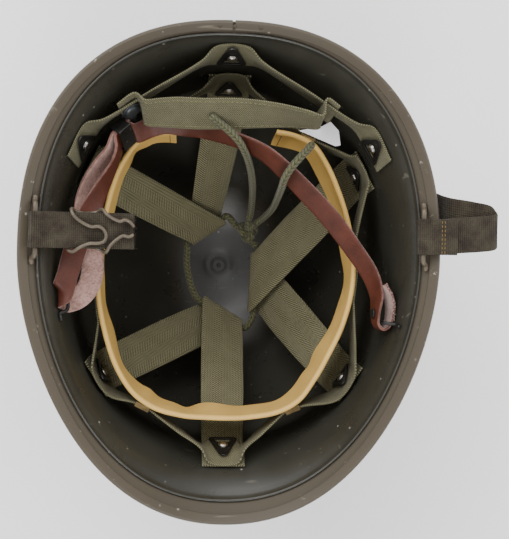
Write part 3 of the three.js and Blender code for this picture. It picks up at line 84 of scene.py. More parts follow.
# Webbing and leather paths, in millimetres: the middle of the band, the way across it and, where it
# changes, its width.
BANDS = {
    "crown_band_rear": [
        (-81.4, 57.5, 126.3, 0.43, 0.89, -0.17, 25.4),
        (-80.4, 56.2, 116.7, 0.43, 0.89, -0.13, 25.4),
        (-79.5, 55.4, 107.2, 0.43, 0.9, -0.07, 25.4), (-78.1, 54.6, 104, 0.44, 0.9, -0.06, 25.4),
        (-64.1, 47.9, 90.9, 0.53, 0.85, -0.05, 25.6), (-50.2, 41.1, 78.6, 0.61, 0.79, -0.04, 25.9),
        (-36.2, 34.4, 67.2, 0.69, 0.72, -0.02, 26.1), (-22.2, 27.6, 56.5, 0.77, 0.64, -0.01, 26.4),
        (-8.2, 20.9, 46.6, 0.83, 0.56, 0, 26.6), (-7.7, 20.1, 45, 0.83, 0.56, 0, 26.6),
        (-7.7, 20, 43.2, 0.83, 0.56, 0, 26.6), (-8.2, 20.8, 41.6, 0.83, 0.56, 0, 26.6),
        (-9, 22.1, 40.6, 0.83, 0.56, 0, 26.6), (-10.1, 23.6, 40.6, 0.83, 0.56, 0, 26.6),
        (-11, 24.9, 41.5, 0.83, 0.56, 0, 26.6), (-8.8, 40.5, 52.7, 0.89, 0.46, 0, 26.4),
        (-6.6, 56, 64.8, 0.94, 0.35, 0, 26.1), (-4.4, 71.6, 77.6, 0.97, 0.23, 0, 25.9),
        (-2.2, 87.1, 91.3, 0.99, 0.12, 0, 25.6), (0, 102.7, 105.8, 1, 0, 0, 25.4),
        (0, 105, 108.8, 1, 0, 0, 25.4), (0, 108.2, 118.3, 1, 0, 0, 25.4),
        (0, 111.7, 127.9, 1, 0, 0, 25.4),
    ],
    "crown_band_front": [
        (0, -119.3, 129.1, 1, 0, 0, 25.4), (0, -112.7, 119.4, 1, 0, 0, 25.4),
        (0, -107.7, 109.5, 1, 0, 0, 25.4), (0, -105.4, 106.3, 1, 0, 0, 25.4),
        (0.3, -90.3, 92.8, 0.99, -0.11, 0, 26.5), (0.7, -75.2, 80, 0.98, -0.22, 0, 27.6),
        (1, -60.1, 68.1, 0.95, -0.33, 0, 28.6), (1.4, -45.1, 57, 0.9, -0.43, 0, 29.7),
        (1.7, -30, 46.6, 0.85, -0.52, 0, 30.8), (2.2, -29.1, 45.1, 0.85, -0.52, 0, 30.8),
        (2.3, -29.1, 43.3, 0.85, -0.52, 0, 30.8), (1.8, -29.8, 41.6, 0.85, -0.52, 0, 30.8),
        (1, -31.1, 40.6, 0.85, -0.52, 0, 30.8), (0.1, -32.7, 40.6, 0.85, -0.52, 0, 30.8),
        (-0.8, -34.1, 41.4, 0.85, -0.52, 0, 30.8), (-15.2, -40.5, 52.3, 0.8, -0.6, -0.03, 29.7),
        (-29.7, -46.9, 64, 0.74, -0.67, -0.06, 28.6),
        (-44.1, -53.4, 76.6, 0.67, -0.74, -0.09, 27.6),
        (-58.6, -59.8, 89.9, 0.6, -0.79, -0.11, 26.5), (-73, -66.2, 104, 0.52, -0.84, -0.14, 25.4),
        (-74.4, -67.2, 107.2, 0.52, -0.84, -0.15, 25.4),
        (-75.1, -68.1, 116.7, 0.51, -0.84, -0.19, 25.4),
        (-75.9, -69.2, 126.2, 0.51, -0.83, -0.22, 25.4),
    ],
    "crown_band_right": [
        (81.4, 57.5, 126.3, 0.43, -0.89, 0.17, 25.4), (80.4, 56.2, 116.7, 0.43, -0.89, 0.13, 25.4),
        (79.5, 55.4, 107.2, 0.43, -0.9, 0.07, 25.4), (78.1, 54.6, 104, 0.44, -0.9, 0.06, 25.4),
        (66.6, 41.4, 90.9, 0.35, -0.94, 0.05, 28.2), (55.1, 28.2, 78.5, 0.25, -0.97, 0.04, 30.9),
        (43.5, 15.1, 67, 0.15, -0.99, 0.02, 33.7), (32, 1.9, 56.3, 0.05, -1, 0.01, 36.5),
        (20.5, -11.3, 46.4, -0.04, -1, 0, 39.2), (19.7, -11.2, 44.8, -0.04, -1, 0, 39.2),
        (19.8, -11.2, 42.9, -0.04, -1, 0, 39.2), (20.8, -11.3, 41.4, -0.04, -1, 0, 39.2),
        (22.4, -11.4, 40.6, -0.04, -1, 0, 39.2), (24.3, -11.4, 40.7, -0.04, -1, 0, 39.2),
        (25.8, -11.5, 41.7, -0.04, -1, 0, 39.2), (35.1, -22.7, 52.5, -0.15, -0.99, -0.03, 36.5),
        (44.4, -34, 64.2, -0.25, -0.97, -0.06, 33.7),
        (53.6, -45.2, 76.7, -0.35, -0.93, -0.09, 30.9),
        (62.9, -56.4, 89.9, -0.45, -0.89, -0.12, 28.2),
        (72.2, -67.6, 104, -0.54, -0.83, -0.14, 25.4),
        (73.5, -68.6, 107.2, -0.53, -0.83, -0.16, 25.4),
        (74.3, -69.5, 116.7, -0.53, -0.83, -0.2, 25.4),
        (75.1, -70.6, 126.2, -0.52, -0.82, -0.22, 25.4),
    ],
    "headband": [
        (-9.2, 107.4, 121, 0, 0.32, 0.95), (9.2, 107.4, 121, 0, 0.32, 0.95),
        (42.3, 79.4, 120.1, 0, 0, 1), (51.8, 73.9, 120.1, 0, 0, 1),
        (75.1, 64.4, 119.3, 0.05, 0.15, 0.99), (83, 48, 121.5, 0.05, 0.15, 0.99),
        (76.2, 15.3, 120.1, 0, 0, 1), (77.4, -5.6, 120.1, 0, 0, 1), (75.8, -20.6, 120.1, 0, 0, 1),
        (77.6, -62.1, 122, -0.01, -0.22, 0.98), (67.8, -77.3, 118.6, -0.01, -0.22, 0.98),
        (45.3, -83.6, 120.1, 0, 0, 1), (35.2, -87.8, 120.1, 0, 0, 1),
        (9.2, -112, 121.3, 0, -0.5, 0.87), (-9.2, -112, 121.3, 0, -0.5, 0.87),
        (-43.6, -87.1, 120.1, 0, 0, 1), (-53.5, -82.3, 120.1, 0, 0, 1),
        (-68.8, -76, 118.6, 0, -0.21, 0.98), (-78.3, -60.6, 122, 0, -0.21, 0.98),
        (-74.9, -35.5, 120.1, 0, 0, 1), (-78.2, -7.9, 120.1, 0, 0, 1), (-76.6, 16, 120.1, 0, 0, 1),
        (-83, 48, 121.5, -0.05, 0.15, 0.99), (-75.1, 64.4, 119.3, -0.05, 0.15, 0.99),
    ],
    "nape_strap": [
        (-89.7, 56.6, 150.3, -0.26, 0.28, 0.93), (-80.3, 75.6, 147.2, -0.26, 0.28, 0.93),
        (-9.5, 120.3, 146.4, 0, 0.4, 0.92), (9.5, 120.3, 146.4, 0, 0.4, 0.92),
        (79.4, 77.2, 147.2, 0.26, 0.29, 0.92), (89.2, 58.3, 150.3, 0.26, 0.29, 0.92),
    ],
    "nape_band": [
        (-63, 85.2, 148.5, -0.19, 0.32, 0.93), (-53.3, 92, 149.8, -0.19, 0.31, 0.93),
        (-49.3, 85.4, 154.8, 0, 0.53, 0.85), (-41.5, 85.6, 152.7, 0, 0.62, 0.79),
        (-31.5, 86.1, 151, 0, 0.68, 0.73), (-15.6, 85.8, 151, 0, 0.69, 0.72),
        (2, 86.3, 151, 0, 0.67, 0.74), (18.1, 86.3, 151, 0, 0.57, 0.82),
        (31.3, 85.7, 151, 0, 0.45, 0.89), (43.1, 84.2, 151, 0, 0.33, 0.95),
        (52, 83.1, 151, 0, 0.23, 0.97), (52.6, 92, 147.5, 0.18, 0.32, 0.93),
        (59.9, 87.5, 147.6, 0.19, 0.32, 0.93),
    ],
    "chin_strap": [
        (89.2, -10.4, 150, 0.22, 0.03, 0.97), (93.4, -18.3, 149.3, 0.22, 0.01, 0.98),
        (94.1, -26.6, 148.9, 0.21, -0.03, 0.98), (92.5, -33.4, 148.6, 0.14, -0.1, 0.98),
        (89.9, -36.4, 148.6, 0, 0, 1), (86.4, -33.7, 148.6, 0.06, 0.04, 1),
        (85.8, -27.3, 148.4, 0.21, 0.06, 0.98), (86.5, -17.4, 147.6, 0.42, 0.21, 0.88),
        (83.2, -5.2, 144.5, 0.54, 0.37, 0.76), (73, 10, 143.8, 0.6, 0.44, 0.67),
        (64.3, 21.5, 143.8, 0.63, 0.51, 0.59), (54.6, 32.5, 143.8, 0.58, 0.56, 0.59),
        (44.4, 43.1, 143.1, 0.53, 0.58, 0.61), (34, 53.5, 141.9, 0.43, 0.58, 0.69),
        (20.9, 64.8, 139.5, 0.24, 0.58, 0.78), (6.5, 71.8, 136.7, 0.09, 0.57, 0.82),
        (-7, 75.9, 134.8, 0.06, 0.57, 0.82), (-17, 78.3, 134, 0.23, 0.58, 0.78),
        (-26, 79.8, 137.4, 0.23, 0.83, 0.5), (-37.6, 80.9, 139.3, -0.03, 0.88, 0.47),
        (-46.4, 78.7, 138.1, -0.27, 0.82, 0.5), (-54.6, 75, 139.8, -0.12, 0.79, 0.6),
        (-57.2, 76.7, 141.2, -0.22, 0.56, 0.8), (-64.7, 69.3, 144.3, -0.22, 0.56, 0.8),
        (-64.1, 65.6, 143.8, -0.21, 0.25, 0.94), (-66.2, 57.1, 145.9, -0.14, 0.32, 0.94),
        (-75.1, 38.4, 151.5, -0.53, 0.42, 0.74), (-79.5, 27.9, 153, -0.83, 0.39, 0.4),
        (-83.7, 16.8, 154.5, -0.93, 0.35, 0.1), (-87.7, 5.6, 155.5, -0.94, 0.31, 0.17),
        (-91.3, -7.5, 156.5, -0.86, 0.31, 0.4), (-93.2, -15.2, 157.9, -0.89, 0.44, 0.1),
        (-93.9, -18.8, 156.4, -0.52, 0.74, -0.43), (-95.7, -20.5, 154, -0.04, 0.9, -0.43),
        (-93.3, -21.1, 150.8, 0.27, 0.95, -0.16), (-92.8, -22.9, 150.5, -0.07, 0.99, 0.07),
        (-85.9, -20.9, 150, -0.53, 0.84, 0.14), (-80.3, -14.8, 149.2, -0.87, 0.47, 0.17),
        (-77.9, -5.5, 148.5, -0.98, 0.09, 0.17), (-78.6, 5.5, 148, -0.99, -0.13, 0.09),
        (-81, 16.9, 147.6, -0.98, -0.18, 0.07), (-82.9, 28.3, 147, -0.95, -0.03, 0.31),
        (-82.2, 38.4, 146, -0.72, 0.21, 0.66), (-78.8, 48.3, 145, -0.54, 0.31, 0.78),
        (-74.2, 56.9, 144.2, -0.39, 0.32, 0.86), (-68.8, 64.2, 143.6, -0.35, 0.32, 0.88),
        (-66.8, 70.2, 143.1, -0.22, 0.56, 0.8), (-57.7, 79.3, 139.3, -0.22, 0.56, 0.8),
    ],
    "left_web_strap": [
        (-95.2, 17, 171.2, 0, 1, 0), (-101.7, 17, 171, 0, 1, 0), (-108.2, 17, 171, 0, 1, 0),
        (-110.1, 17, 171.8, 0, 1, 0), (-110.9, 17, 173.7, 0, 1, 0), (-110.1, 17, 175.6, 0, 1, 0),
        (-108.2, 17, 176.4, 0, 1, 0), (-99.2, 17, 176.2, 0, 1, 0), (-90.2, 17, 175.6, 0, 1, 0),
        (-81.2, 17, 174.7, 0, 1, 0), (-72.2, 17, 173.3, 0, 1, 0), (-63.2, 17, 171.6, 0, 1, 0),
        (-54.2, 17, 169.4, 0, 1, 0),
    ],
    "right_web_strap": [
        (126.2, 17, 178.6, 0, 1, 0), (117.2, 17, 178.8, 0, 1, 0), (112.7, 17, 178.3, 0, 1, 0),
        (108.2, 17, 176.4, 0, 1, 0), (106.3, 17, 175.6, 0, 1, 0), (105.5, 17, 173.7, 0, 1, 0),
        (106.3, 17, 171.8, 0, 1, 0), (108.2, 17, 171, 0, 1, 0), (109.3, 17, 171.3, 0, 1, 0),
        (110.3, 17, 172, 0, 1, 0), (112, 17, 176.3, 0, 1, 0), (117.2, 17, 176.4, 0, 1, 0),
        (126.2, 18, 176.5, 0, 1, 0), (139.2, 19, 176, 0, 1, 0), (147.2, 20, 175.4, 0, 1, 0),
        (149.2, 21, 174.2, 0, 1, 0), (147.2, 24.9, 172.8, 0, 1, 0), (137.2, 27.5, 171, 0, 1, 0),
        (125.2, 29.6, 167.4, 0, 1, 0), (120.8, 31.4, 161.4, 0, 1, 0), (120, 33, 152.4, 0, 1, 0),
        (119, 33, 116.4, 0, 1, 0), (117, 33, 64.4, 0, 1, 0),
    ],
}
# The bands that keep one width from end to end take it here.
WIDTHS = {"headband": 21, "nape_strap": 19, "nape_band": 23, "chin_strap": 13,
          "left_web_strap": 20, "right_web_strap": 20}
BANDS.update({name: [(*row, width) for row in BANDS[name]] for name, width in WIDTHS.items()})

# Wires and laces, in millimetres: the points that each one passes through.
RUNS = {
    "lace_ring": [
        (20.3, 15, 45.4), (24.2, 11.2, 44), (23.8, 2.2, 44), (22.5, -25, 44), (21.7, -34.5, 43.6),
        (16.8, -41.5, 43.6), (8.5, -37, 44), (-7.5, -27.1, 44), (-15.2, -22.4, 44),
        (-20.6, -9.2, 44), (-22.3, 1.9, 44), (-22.1, 9.3, 44), (-22.3, 14.3, 44),
        (-15.7, 18.8, 44), (-3.6, 27, 44), (3.5, 31.8, 44), (10, 25.2, 45.4),
    ],
    "lace_end_a": [
        (17.4, 28.6, 51.3), (18.6, 34, 54), (18.7, 39.9, 63), (18.1, 45.3, 76), (16.7, 50, 94),
        (14.6, 55.2, 113), (11.8, 60.4, 130.5), (8.5, 65.5, 142.5), (5.1, 70.4, 148),
        (1.3, 74.4, 149.4), (-3, 78.1, 149.6), (-7.6, 81.4, 151.2), (-12.4, 84.7, 154),
    ],
    "lace_end_b": [
        (21.6, 26.6, 51.6), (26, 30.2, 54.5), (29.4, 33.5, 63), (31.6, 37.1, 76), (32.1, 40.6, 92),
        (31.4, 43.2, 118), (30.9, 45.9, 140), (31.4, 49.2, 146.5), (33.5, 53.7, 150),
        (36.6, 58.1, 151.6), (40.4, 62.5, 150.8), (44.5, 66.9, 148.2), (48.2, 71.3, 144.6),
    ],
    "left_bale": [
        (-110, -2.5, 170.9), (-110.2, 0.9, 171), (-108.2, 2.9, 173.7), (-108.2, 9.8, 173.7),
        (-108.2, 24.2, 173.7), (-108.2, 31.1, 173.7), (-108.8, 33.1, 170.8), (-108.4, 36.5, 170.7),
    ],
    "right_bale": [
        (110, -2.5, 170.9), (110.2, 0.9, 171), (108.2, 2.9, 173.7), (108.2, 9.8, 173.7),
        (108.2, 24.2, 173.7), (108.2, 31.1, 173.7), (108.8, 33.1, 170.8), (108.4, 36.5, 170.7),
    ],
    "left_hook": [
        (-53.8, 19.2, 172.4), (-56.2, 22, 172.9), (-59, 23.2, 173.6), (-61.6, 22.4, 174.2),
        (-65.2, 23.6, 175), (-69.2, 26.2, 175.8), (-71.6, 28.8, 173.5), (-74.6, 27.4, 171.3),
        (-80.8, 26.4, 172.2), (-85.8, 27.4, 172.8), (-88.2, 28.8, 175.8), (-87.4, 25.8, 178.4),
        (-83.8, 22.2, 178), (-77.2, 19, 177.1), (-73.2, 19.2, 176.5), (-70.6, 17.6, 176),
        (-69.2, 14.4, 175.8), (-70.2, 11.2, 175.9), (-73.6, 10, 176.5), (-78.2, 9.8, 177.2),
        (-83.2, 7.6, 177.9), (-87.6, 5.1, 175.7), (-90.2, 6.6, 173.2), (-86.2, 8.4, 172.8),
        (-78.2, 8.2, 171.8), (-72.2, 6.6, 170.9), (-69.4, 5.1, 173.1), (-67.2, 8.4, 175.4),
        (-64.2, 11.6, 174.8), (-60, 14.4, 173.8), (-56.4, 14, 173), (-54, 15.6, 172.4),
    ],
    "chin_loop_left": [
        (-94.4, -34.1, 154), (-95.2, -29.8, 154), (-91.4, -27.4, 153.6), (-91.4, -19.9, 153.6),
        (-91.4, -12.4, 153.6), (-97.3, -10.6, 154), (-97.5, -7.1, 154),
    ],
    "chin_loop_right": [
        (90.8, -32.5, 135.3), (91.3, -33.2, 139.3), (89.5, -32.3, 141.1), (89.5, -32.3, 148.6),
        (89.5, -32.3, 156.1), (96.1, -33.1, 158.5), (97.5, -34.2, 162.6),
    ],
}
# Flat fittings, in millimetres: a corner point, then the ways along, up and off the plate.
PLATES = {
    "clip_rear_centre": (0, 104.97, 116.7, 1, 0, 0, 0, 0.319, 0.948, 0, -0.948, 0.319),
    "clip_rear_right": (77.88, 54.9, 114.54, 0.432, -0.894, 0.118, 0.048, 0.153, 0.987, -0.9,
        -0.421, 0.109),
    "clip_front_right": (71.95, -67.92, 114.55, -0.53, -0.827, -0.187, -0.005, -0.217, 0.976,
        -0.848, 0.519, 0.111),
    "clip_front_centre": (0, -109.08, 118.21, -1, 0, 0, 0, -0.497, 0.868, 0, 0.868, 0.497),
    "clip_front_left": (-72.76, -66.57, 114.54, -0.515, 0.837, 0.183, 0.001, -0.213, 0.977, 0.857,
        0.504, 0.109),
    "clip_rear_left": (-77.88, 54.9, 114.54, 0.432, 0.894, -0.118, -0.048, 0.153, 0.987, 0.9,
        -0.421, 0.109),
    "nape_clip_left": (-83.63, 66.86, 148.89, 0.44, 0.886, -0.143, -0.258, 0.277, 0.926, 0.86,
        -0.371, 0.35),
    "nape_clip_centre": (0, 119.4, 146.78, 1, 0, 0, 0, 0.397, 0.918, 0, -0.918, 0.397),
    "nape_clip_right": (82.91, 68.52, 148.91, 0.455, -0.878, 0.146, 0.257, 0.287, 0.923, -0.853,
        -0.383, 0.356),
    "sweatband_clip_front_left": (-44.54, -86.69, 120.06, -0.44, -0.898, 0, 0, 0, 1, -0.898, 0.44,
        0),
    "sweatband_clip_front_right": (44.41, -83.97, 120.06, 0.388, -0.922, 0, 0, 0, 1, -0.922,
        -0.388, 0),
    "sweatband_clip_rear_right": (43.16, 78.92, 120.06, 0.504, 0.863, 0, 0, 0, 1, 0.863, -0.504,
        0),
    "tag": (57.74, 83.81, 135.79, 1, 0, 0, 0, 0.985, 0.174, 0, -0.174, 0.985),
    "chin_buckle": (-64.01, 69.96, 144.04, -0.216, 0.555, 0.803, 0.7, -0.485, 0.523, 0.68, 0.676,
        -0.283),
    "right_strap_clasp": (114.5, 33, 64.08, 0, 1, 0, 0, 0, 1, 1, 0, 0),
}
# Domed heads, in millimetres: the foot, the axis, the radius and the rise.
HEADS = {
    "rivet_rear_centre": (0, 103.74, 117.12, 0, -0.948, 0.319, 3, 1.4),
    "rivet_rear_right": (76.71, 54.35, 114.68, -0.9, -0.421, 0.109, 3, 1.4),
    "rivet_front_right": (70.85, -67.25, 114.69, -0.848, 0.519, 0.111, 3, 1.4),
    "rivet_front_centre": (0, -107.95, 118.86, 0, 0.868, 0.497, 3, 1.4),
    "rivet_front_left": (-71.64, -65.91, 114.68, 0.857, 0.504, 0.109, 3, 1.4),
    "rivet_rear_left": (-76.71, 54.35, 114.68, 0.9, -0.421, 0.109, 3, 1.4),
    "nape_rivet_left": (-82.51, 66.38, 149.35, 0.86, -0.371, 0.35, 3, 1.4),
    "nape_rivet_centre": (0, 118.2, 147.3, 0, -0.918, 0.397, 3, 1.4),
    "nape_rivet_right": (81.8, 68.02, 149.37, -0.853, -0.383, 0.356, 3, 1.4),
    "nape_snap": (-57.05, 87.47, 147.88, 0.5, -0.786, 0.364, 6.2, 3),
    "nape_snap_back": (-58.8, 90.22, 146.61, -0.5, 0.786, -0.364, 4.96, 1.5),
    "chin_rivet": (84.34, -27.24, 148.74, -0.978, 0.02, 0.208, 3, 1.4),
}
# Sweatband, in millimetres: its top, the way outwards and the way down the leather.
SWEATBAND = [
    (-31.5, 76.8, 134, -0.17, 0.98, 0, 0.04, -0.22, -0.97),
    (-39, 76.8, 134, -0.14, 0.99, 0, 0.03, -0.24, -0.97),
    (-48, 75.3, 134, -0.47, 0.88, 0, 0.11, -0.2, -0.97),
    (-56.2, 67.9, 134, -0.77, 0.64, 0, 0.11, -0.09, -0.99),
    (-64.9, 53, 134, -0.93, 0.38, 0, 0.12, -0.05, -0.99),
    (-71.6, 29.6, 134, -0.98, 0.21, 0, 0.14, -0.03, -0.99),
    (-75, 6.2, 134, -1, 0.07, 0, 0.14, -0.01, -0.99),
    (-75.4, -18, 134, -1, -0.04, 0, 0.11, 0, -0.99),
    (-69.8, -45.9, 134, -0.93, -0.38, 0, 0.15, 0.06, -0.99),
    (-62.6, -63.9, 134, -0.81, -0.59, 0, 0.14, 0.1, -0.98),
    (-53.2, -77.4, 134, -0.59, -0.81, 0, 0.17, 0.23, -0.96),
    (-42, -85, 134, -0.31, -0.95, 0, 0.07, 0.21, -0.97),
    (-27, -89.1, 134, -0.14, -0.99, 0, 0.03, 0.21, -0.98),
    (-3.8, -90.9, 134, 0, -1, 0, 0, 0.29, -0.96), (15, -90, 134, 0.07, -1, 0, -0.02, 0.24, -0.97),
    (31.5, -86.8, 134, 0.21, -0.98, 0, -0.04, 0.2, -0.98),
    (43.9, -79.7, 134, 0.5, -0.87, 0, -0.14, 0.24, -0.96),
    (52.5, -68, 134, 0.79, -0.62, 0, -0.17, 0.13, -0.98),
    (61.5, -51.8, 134, 0.88, -0.47, 0, -0.18, 0.1, -0.98),
    (69, -35.1, 134, 0.94, -0.34, 0, -0.17, 0.06, -0.98),
    (73.9, -16.2, 134, 0.98, -0.17, 0, -0.1, 0.02, -0.99),
    (75, 4.7, 134, 1, 0.05, 0, -0.14, -0.01, -0.99),
    (71.6, 25, 134, 0.97, 0.24, 0, -0.17, -0.04, -0.98),
    (65.6, 43.7, 134, 0.94, 0.34, 0, -0.2, -0.07, -0.98),
    (58.1, 60.1, 134, 0.87, 0.5, 0, -0.25, -0.14, -0.96),
    (49.5, 71.8, 134, 0.62, 0.79, 0, -0.19, -0.24, -0.95),
    (37.5, 77.2, 134, 0.28, 0.96, 0, -0.08, -0.26, -0.96),
    (27.8, 78.8, 134, 0.21, 0.98, 0, -0.05, -0.22, -0.97),
]
KNOT = (17.35, 22.28, 46.1)

# Outlines of the flat pieces, along the two ways of their rows in PLATES.
CLIP = [(-7.31, -7.65), (7.31, -7.65), (8.5, -6.46), (7.99, -4.59), (2.55, 8.16), (1.19, 9.35),
        (-1.19, 9.35), (-2.55, 8.16), (-7.99, -4.59), (-8.5, -6.46)]
CLIP_SLOT = [(-3.83, -2.99), (3.83, -2.99), (5.1, -5.93), (-5.1, -5.93)]
GRIP = [(1.55, 11.4), (-1.55, 11.4), (-1.55, -4.2), (-0.95, -4.2), (-0.95, 10.8), (0.95, 10.8),
        (0.95, -4.2), (1.55, -4.2)]
TAG = [(-17, -4.5), (-3.5, -1.6), (1.5, 1.2), (6.6, -4), (8, -12.5), (5, -13.2)]
SLIDE = [(-8.3, -5.4), (8.3, -5.4), (8.3, 2.8), (-8.3, 2.8)]
SLIDE_WINDOW = [(-6.8, 1.3), (6.8, 1.3), (6.8, -3.9), (-6.8, -3.9)]
CLASP = [(-11.5, 0), (-11.5, -25), (-6.5, -30), (6.5, -30), (11.5, -25), (11.5, 0)]

# Feet of the turned heads: shares of the radius with heights, in millimetres.
DOME_FOOT = [(0.2, 0), (0.96, 0)]
RIVET_FOOT = [(0.2, 0), (0.97, 0), (1, 0.12), (0.97, 0.34), (0.86, 0.42)]
# The disc that shows below the nape snap: radii with heights, and its place from the snap.
SNAP_SOCKET = [(0.8, -1.2), (4.2, -1.2), (4.7, -0.6), (4.6, 0.2), (3.6, 0.9), (1.2, 1.2)]
SNAP_SHIFT = (-1.2, -4.6, -6.6)

# Small weld marks beside the edging's seam: distances along the rim.
WELDS = (-6.2, 0.2, 13.0)
# The low moulded rings at the liner's crown: their middle and radii, and how far they are let in.
CROWN_MARK, MARK_RADII, MARK_SUNK = (0.47, -0.43), (5.6, 4.4, 1.0), 0.42
# Where the sweatband is folded in at its corners: distances along it, and how far it moves.
CREASES, CREASE_DEPTHS = (28.0, 190.0, 216.0, 305.0), (2.2, -1.6, 2.2, 1.4)
# The stitched seam of the right web strap: its distance to the helmet's side.
STRAP_SEAM = 118.6
# The radius of a stitch's thread, and the steps along a band where stitches and fibres are placed.
THREAD, FINE_STEPS = 0.26, 400

# The photograph's camera: its place in metres, its tilt to +X and its roll in degrees.
CAMERA_PLACE, CAMERA_TILT, CAMERA_ROLL = (-0.037, -0.0029, 0.870), 4.12, 1.0
FOCUS_PIXELS, PHOTO_HEIGHT, SENSOR = 1254, 539, 36.0
# The floor, in millimetres: half its side, and its distance below the helmet.
FLOOR_HALF, FLOOR_DROP = 3000.0, 0.6
# Soft lights: name, place, what they face, width and height in metres, and power in watts.
LIGHTS = (
    ("Key light", (-0.6, 1.2, 1.4), (0, 0, 0.08), (2.2, 1.3), 44.0),
    ("Front strip", (-0.02, -1.3, 1.15), (0, 0, 0.05), (0.4, 1.3), 16.0),
    ("Right light", (1.5, 0.3, 0.8), (0, 0, 0.1), (0.6, 1.2), 9.0),
)


# Shapes

def unit(vectors):
    """Each vector divided by its own length."""
    return vectors / np.maximum(np.linalg.norm(vectors, axis=-1, keepdims=True), 1e-12)


def full_turn(count):
    """Evenly spaced angles of one turn, in radians."""
    return np.linspace(0, 2 * np.pi, count, endpoint=False)


def two_across(ways, hint):
    """Two directions across each way, the first also across a hint that no way lies along."""
    aside = unit(np.cross(ways, hint))
    return aside, np.cross(ways, aside)


def circles(centres, aside, other, size):
    """Rings of points: each centre plus its size times (aside cos(turn) + other sin(turn))."""
    turn = full_turn(size.shape[-1])[None, :, None]
    ring = aside[:, None] * np.cos(turn) + other[:, None] * np.sin(turn)
    return centres[:, None] + ring * size[..., None]


def smooth_rows(rows, count, closed=False):
    """Rows resampled evenly on a cubic curve through them.

    The curve's parameter grows with the square root of the step between points, each row's slope is
    the one between its neighbours, and the result is spaced evenly along the curve.
    """
    rows = np.asarray(rows, float)
    if closed:
        rows = np.vstack([rows[-2:], rows, rows[:3]])
    step = np.sqrt(np.maximum(np.linalg.norm(np.diff(rows[:, :3], axis=0), axis=1), 1e-6))
    knots = np.concatenate([[0], np.cumsum(step)])
    slope = np.gradient(rows, knots, axis=0)
    if closed:
        first, last = knots[2], knots[-3]
    else:
        first, last = knots[0], knots[-1]

    def at(place):
        low = np.clip(np.searchsorted(knots, place, side="right") - 1, 0, len(knots) - 2)
        width = (knots[low + 1] - knots[low])[:, None]
        t = (place - knots[low])[:, None] / width
        a, b = rows[low], rows[low + 1]
        return (a * (2 * t**3 - 3 * t**2 + 1) + b * (3 * t**2 - 2 * t**3)
                + slope[low] * width * (t**3 - 2 * t**2 + t)
                + slope[low + 1] * width * (t**3 - t**2))

    fine = np.linspace(first, last, count * 8)
    points = at(fine)
    run = np.concatenate([[0], np.cumsum(np.linalg.norm(np.diff(points[:, :3], axis=0), axis=1))])
    even = np.linspace(0, run[-1], count + 1 if closed else count)
    out = at(np.interp(even, run, fine))
    return out[:-1] if closed else out


def along(points, closed=False):
    """The unit direction of travel at each point, from its two neighbours."""
    if closed:
        return unit(np.roll(points, -1, axis=0) - np.roll(points, 1, axis=0))
    return unit(np.gradient(points, axis=0))


def travelled(points):
    """The distance from the first point to each point."""
    return np.concatenate([[0], np.cumsum(np.linalg.norm(np.diff(points, axis=0), axis=1))])


def column(table, index, place):
    """A column of a ring table at any place, on a cubic curve with its neighbours' slopes."""
    values = table[:, index]
    ends = 2 * values[[0, -1]] - values[[1, -2]]
    padded = np.concatenate([ends[:1], values, ends[1:]])
    low = np.clip(np.floor(place).astype(int), 0, RIM - 1)
    t = place - low
    before, a, b, after = (padded[low + k] for k in range(4))
    slope_a, slope_b, rise = (b - before) / 2, (after - a) / 2, b - a
    return a + slope_a * t + (3 * rise - 2 * slope_a - slope_b) * t**2 \
        + (slope_a + slope_b - 2 * rise) * t**3


def pot_point(turn, place):
    """The outside of the pot: an oval whose reach, height and exponent change from rear to front.

    The turn is in degrees from the rear. Across is the half width times the sine, to the power of
    two over the exponent, and along the helmet is the reach times the cosine in the same way.
    """
    c, s = np.cos(np.radians(turn)), np.sin(np.radians(turn))
    behind = c > 0
    rear, side, front, square, cheek, visor = (column(RINGS, k, place) for k in range(6))
    power = np.where(behind, square, cheek + (visor - cheek) * c**2)
    middle = WIDEST_BEHIND * side
    reach = np.where(behind, rear * REAR_REACH - middle, front * FRONT_REACH + middle)
    rise_rear, rise_side, rise_front = (column(RISES, k, place) for k in range(3))
    rise = np.where(behind, rise_rear * REAR_DEPTH, rise_front * FRONT_DEPTH)
    return np.stack([
        np.sign(s) * side * HALF_WIDTH * np.abs(s) ** (2 / power),
        middle + np.sign(c) * reach * np.abs(c) ** (2 / power),
        rise * c**2 + rise_side * SIDE_DEPTH * s**2,
    ], axis=-1)


def sheet_point(turn, place, inset):
    """A point inside the sheet: the pot's surface moved inwards along its own normal.

    Over the last ring before the rim the sheet is straight from ring to ring.
    """
    turn, place, inset = np.broadcast_arrays(*(np.asarray(v, float) for v in (turn, place, inset)))

    def moved(at):
        around = pot_point(turn + 0.5, at) - pot_point(turn - 0.5, at)
        up = pot_point(turn, np.minimum(at + 0.05, RIM)) - pot_point(turn, np.maximum(at - 0.05, 0))
        inward = unit(np.cross(up, around))
        point = pot_point(turn, at)
        facing = np.sum(inward * (np.array([0, 0, SIDE_DEPTH]) - point), axis=-1, keepdims=True)
        inward = np.where(facing < 0, -inward, inward)
        flat = (at <= 1e-9)[..., None]
        inward = np.where(flat, np.array([0, 0, 1.0]), inward)
        return point + inward * inset[..., None]

    share = np.clip(place - (RIM - 1), 0, 1)[..., None]
    inner = moved(np.minimum(place, RIM - 1.0))
    return inner * (1 - share) + moved(np.full_like(place, float(RIM))) * share


